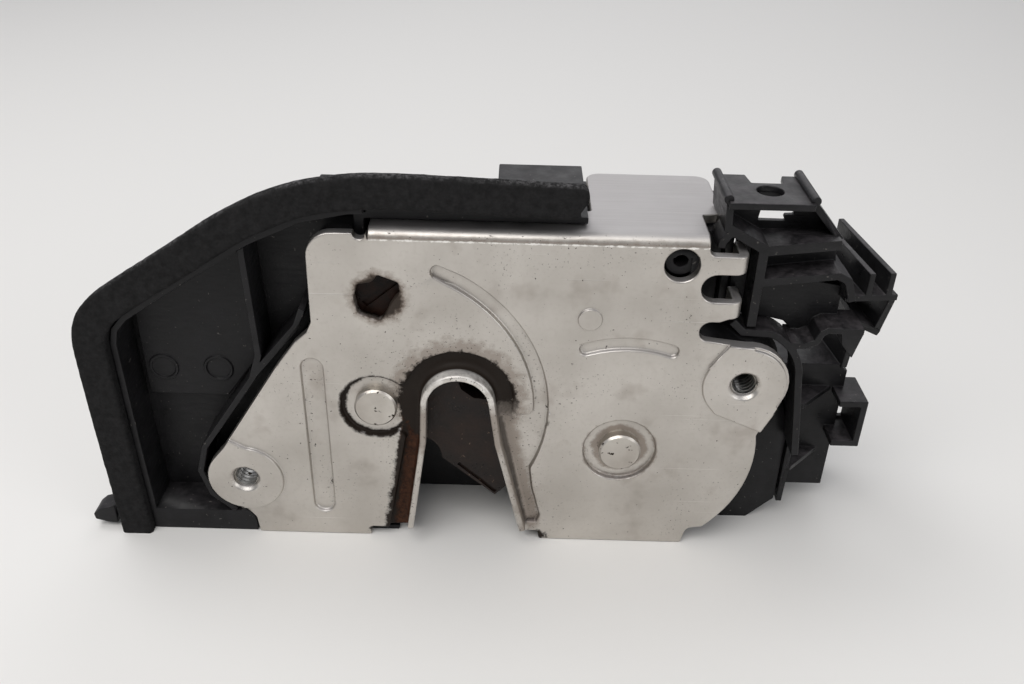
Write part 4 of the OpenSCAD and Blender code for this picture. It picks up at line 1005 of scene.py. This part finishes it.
def thread(place, name):
    """Ridge of a tapped hole: a small three sided section wound down the bore."""
    bpy.ops.object.select_all(action="DESELECT")
    bpy.ops.mesh.primitive_circle_add(vertices=3, radius=ridge_size * MM)
    ridge = bpy.context.object
    ridge.name = name
    bpy.ops.object.mode_set(mode="EDIT")
    bpy.ops.mesh.select_all(action="SELECT")
    bpy.ops.transform.rotate(value=math.radians(90), orient_axis="Z", center_override=(0, 0, 0))
    bpy.ops.transform.translate(value=(thread_radius * MM, first_turn * MM, 0))
    bpy.ops.object.mode_set(mode="OBJECT")
    wound = ridge.modifiers.new("wound", "SCREW")
    wound.axis = "Y"
    wound.angle = math.radians(360)
    wound.screw_offset = thread_pitch * MM
    wound.iterations = thread_turns
    wound.steps = steps_per_turn
    wound.render_steps = steps_per_turn
    apply_all(ridge)
    ridge.location = place
    take(ridge)
    bpy.ops.object.transform_apply(location=True, rotation=True, scale=True)
    bpy.ops.object.mode_set(mode="EDIT")
    bpy.ops.mesh.select_all(action="SELECT")
    bpy.ops.mesh.remove_doubles(threshold=0.001 * MM)
    bpy.ops.mesh.fill_holes(sides=0)
    bpy.ops.mesh.normals_make_consistent(inside=False)
    bpy.ops.object.mode_set(mode="OBJECT")
    bpy.ops.object.shade_smooth_by_angle(angle=math.radians(40))
    ridge.data.materials.append(bright_steel)
    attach(ridge, "lock_case")


foam_seal()
thread(thread_axes[0], "left_thread")
thread(thread_axes[1], "right_thread")
# plain_depths are the planes, in millimetres, in which a piece lies on others and its edges stay sharp
dress("lock_plate", "pressed_plate", width=0.4, steps=3, plain_depths=(2.0, 3.2))
dress("housing", "moulded_housing", width=0.25,
      plain_depths=(2.0, 9.4, 11.2, 31.0), shape=wall_behind_foam)
dress("end_bracket", "moulded_bracket", width=0.22)
dress("rear_cover", "moulded_cover", width=0.35,
      plain_depths=(31.0, 33.0), shape=sloped_dome)


# Stage, light and camera

table_white = (0.76, 0.75, 0.735, 1)
table_width = 6
sky_white = (0.95, 0.96, 1, 1)
sky_strength = 0.35
lens_length = 33.96
camera_place = Vector((10.4, -159.2, 112.2)) * MM
camera_tilt = math.radians(59)
camera_roll = math.radians(1.55)


def floor():
    """Pale table under the lock's lower edge."""
    bpy.ops.object.select_all(action="DESELECT")
    bpy.ops.mesh.primitive_plane_add(size=table_width, location=(0, 0, foot_z))
    table = bpy.context.object
    table.name = "table"
    bpy.ops.object.transform_apply(location=True, rotation=True, scale=True)
    pale, shader = start_finish("pale_table", specular=0.3)
    shader.inputs["Base Color"].default_value = table_white
    shader.inputs["Roughness"].default_value = 0.6
    table.data.materials.append(pale)


def lamp(name, place, size, power, tint=(1, 1, 1)):
    """A soft square lamp that looks at the lock."""
    light = bpy.data.lights.new(name, "AREA")
    light.shape = "SQUARE"
    light.size = size
    light.energy = power
    light.color = tint
    holder = bpy.data.objects.new(name, light)
    bpy.context.scene.collection.objects.link(holder)
    gaze = (-Vector(place)).to_track_quat("-Z", "Y").to_matrix().to_4x4()
    holder.matrix_world = Matrix.Translation(place) @ gaze


def studio():
    """Even sky light and four lamps. Places and sizes are in metres, power in watts."""
    world = bpy.data.worlds.new("studio")
    bpy.context.scene.world = world
    world.use_nodes = True
    background = world.node_tree.nodes["Background"]
    background.inputs["Color"].default_value = sky_white
    background.inputs["Strength"].default_value = sky_strength
    lamp("key", place=(-0.24, -0.42, 0.74), size=0.7, power=5.2, tint=(1, 0.985, 0.96))
    lamp("fill", place=(0.7, -0.5, 0.35), size=0.5, power=1.4)
    lamp("edge", place=(0.15, 0.8, 0.5), size=0.8, power=1.4)
    lamp("overhead", place=(-0.3, 0.22, 0.72), size=0.35, power=1.6)


def photo_camera():
    """Camera where the photograph was taken from: 31 degrees down, a little rolled."""
    lens = bpy.data.cameras.new("photo_camera")
    lens.lens = lens_length
    lens.sensor_width = 36
    lens.clip_start = 0.01
    holder = bpy.data.objects.new("photo_camera", lens)
    bpy.context.scene.collection.objects.link(holder)
    tilt = Matrix.Rotation(camera_tilt, 4, "X") @ Matrix.Rotation(camera_roll, 4, "Z")
    holder.matrix_world = Matrix.Translation(camera_place) @ tilt
    bpy.context.scene.camera = holder


floor()
studio()
photo_camera()
bpy.context.scene.view_settings.view_transform = "Standard"
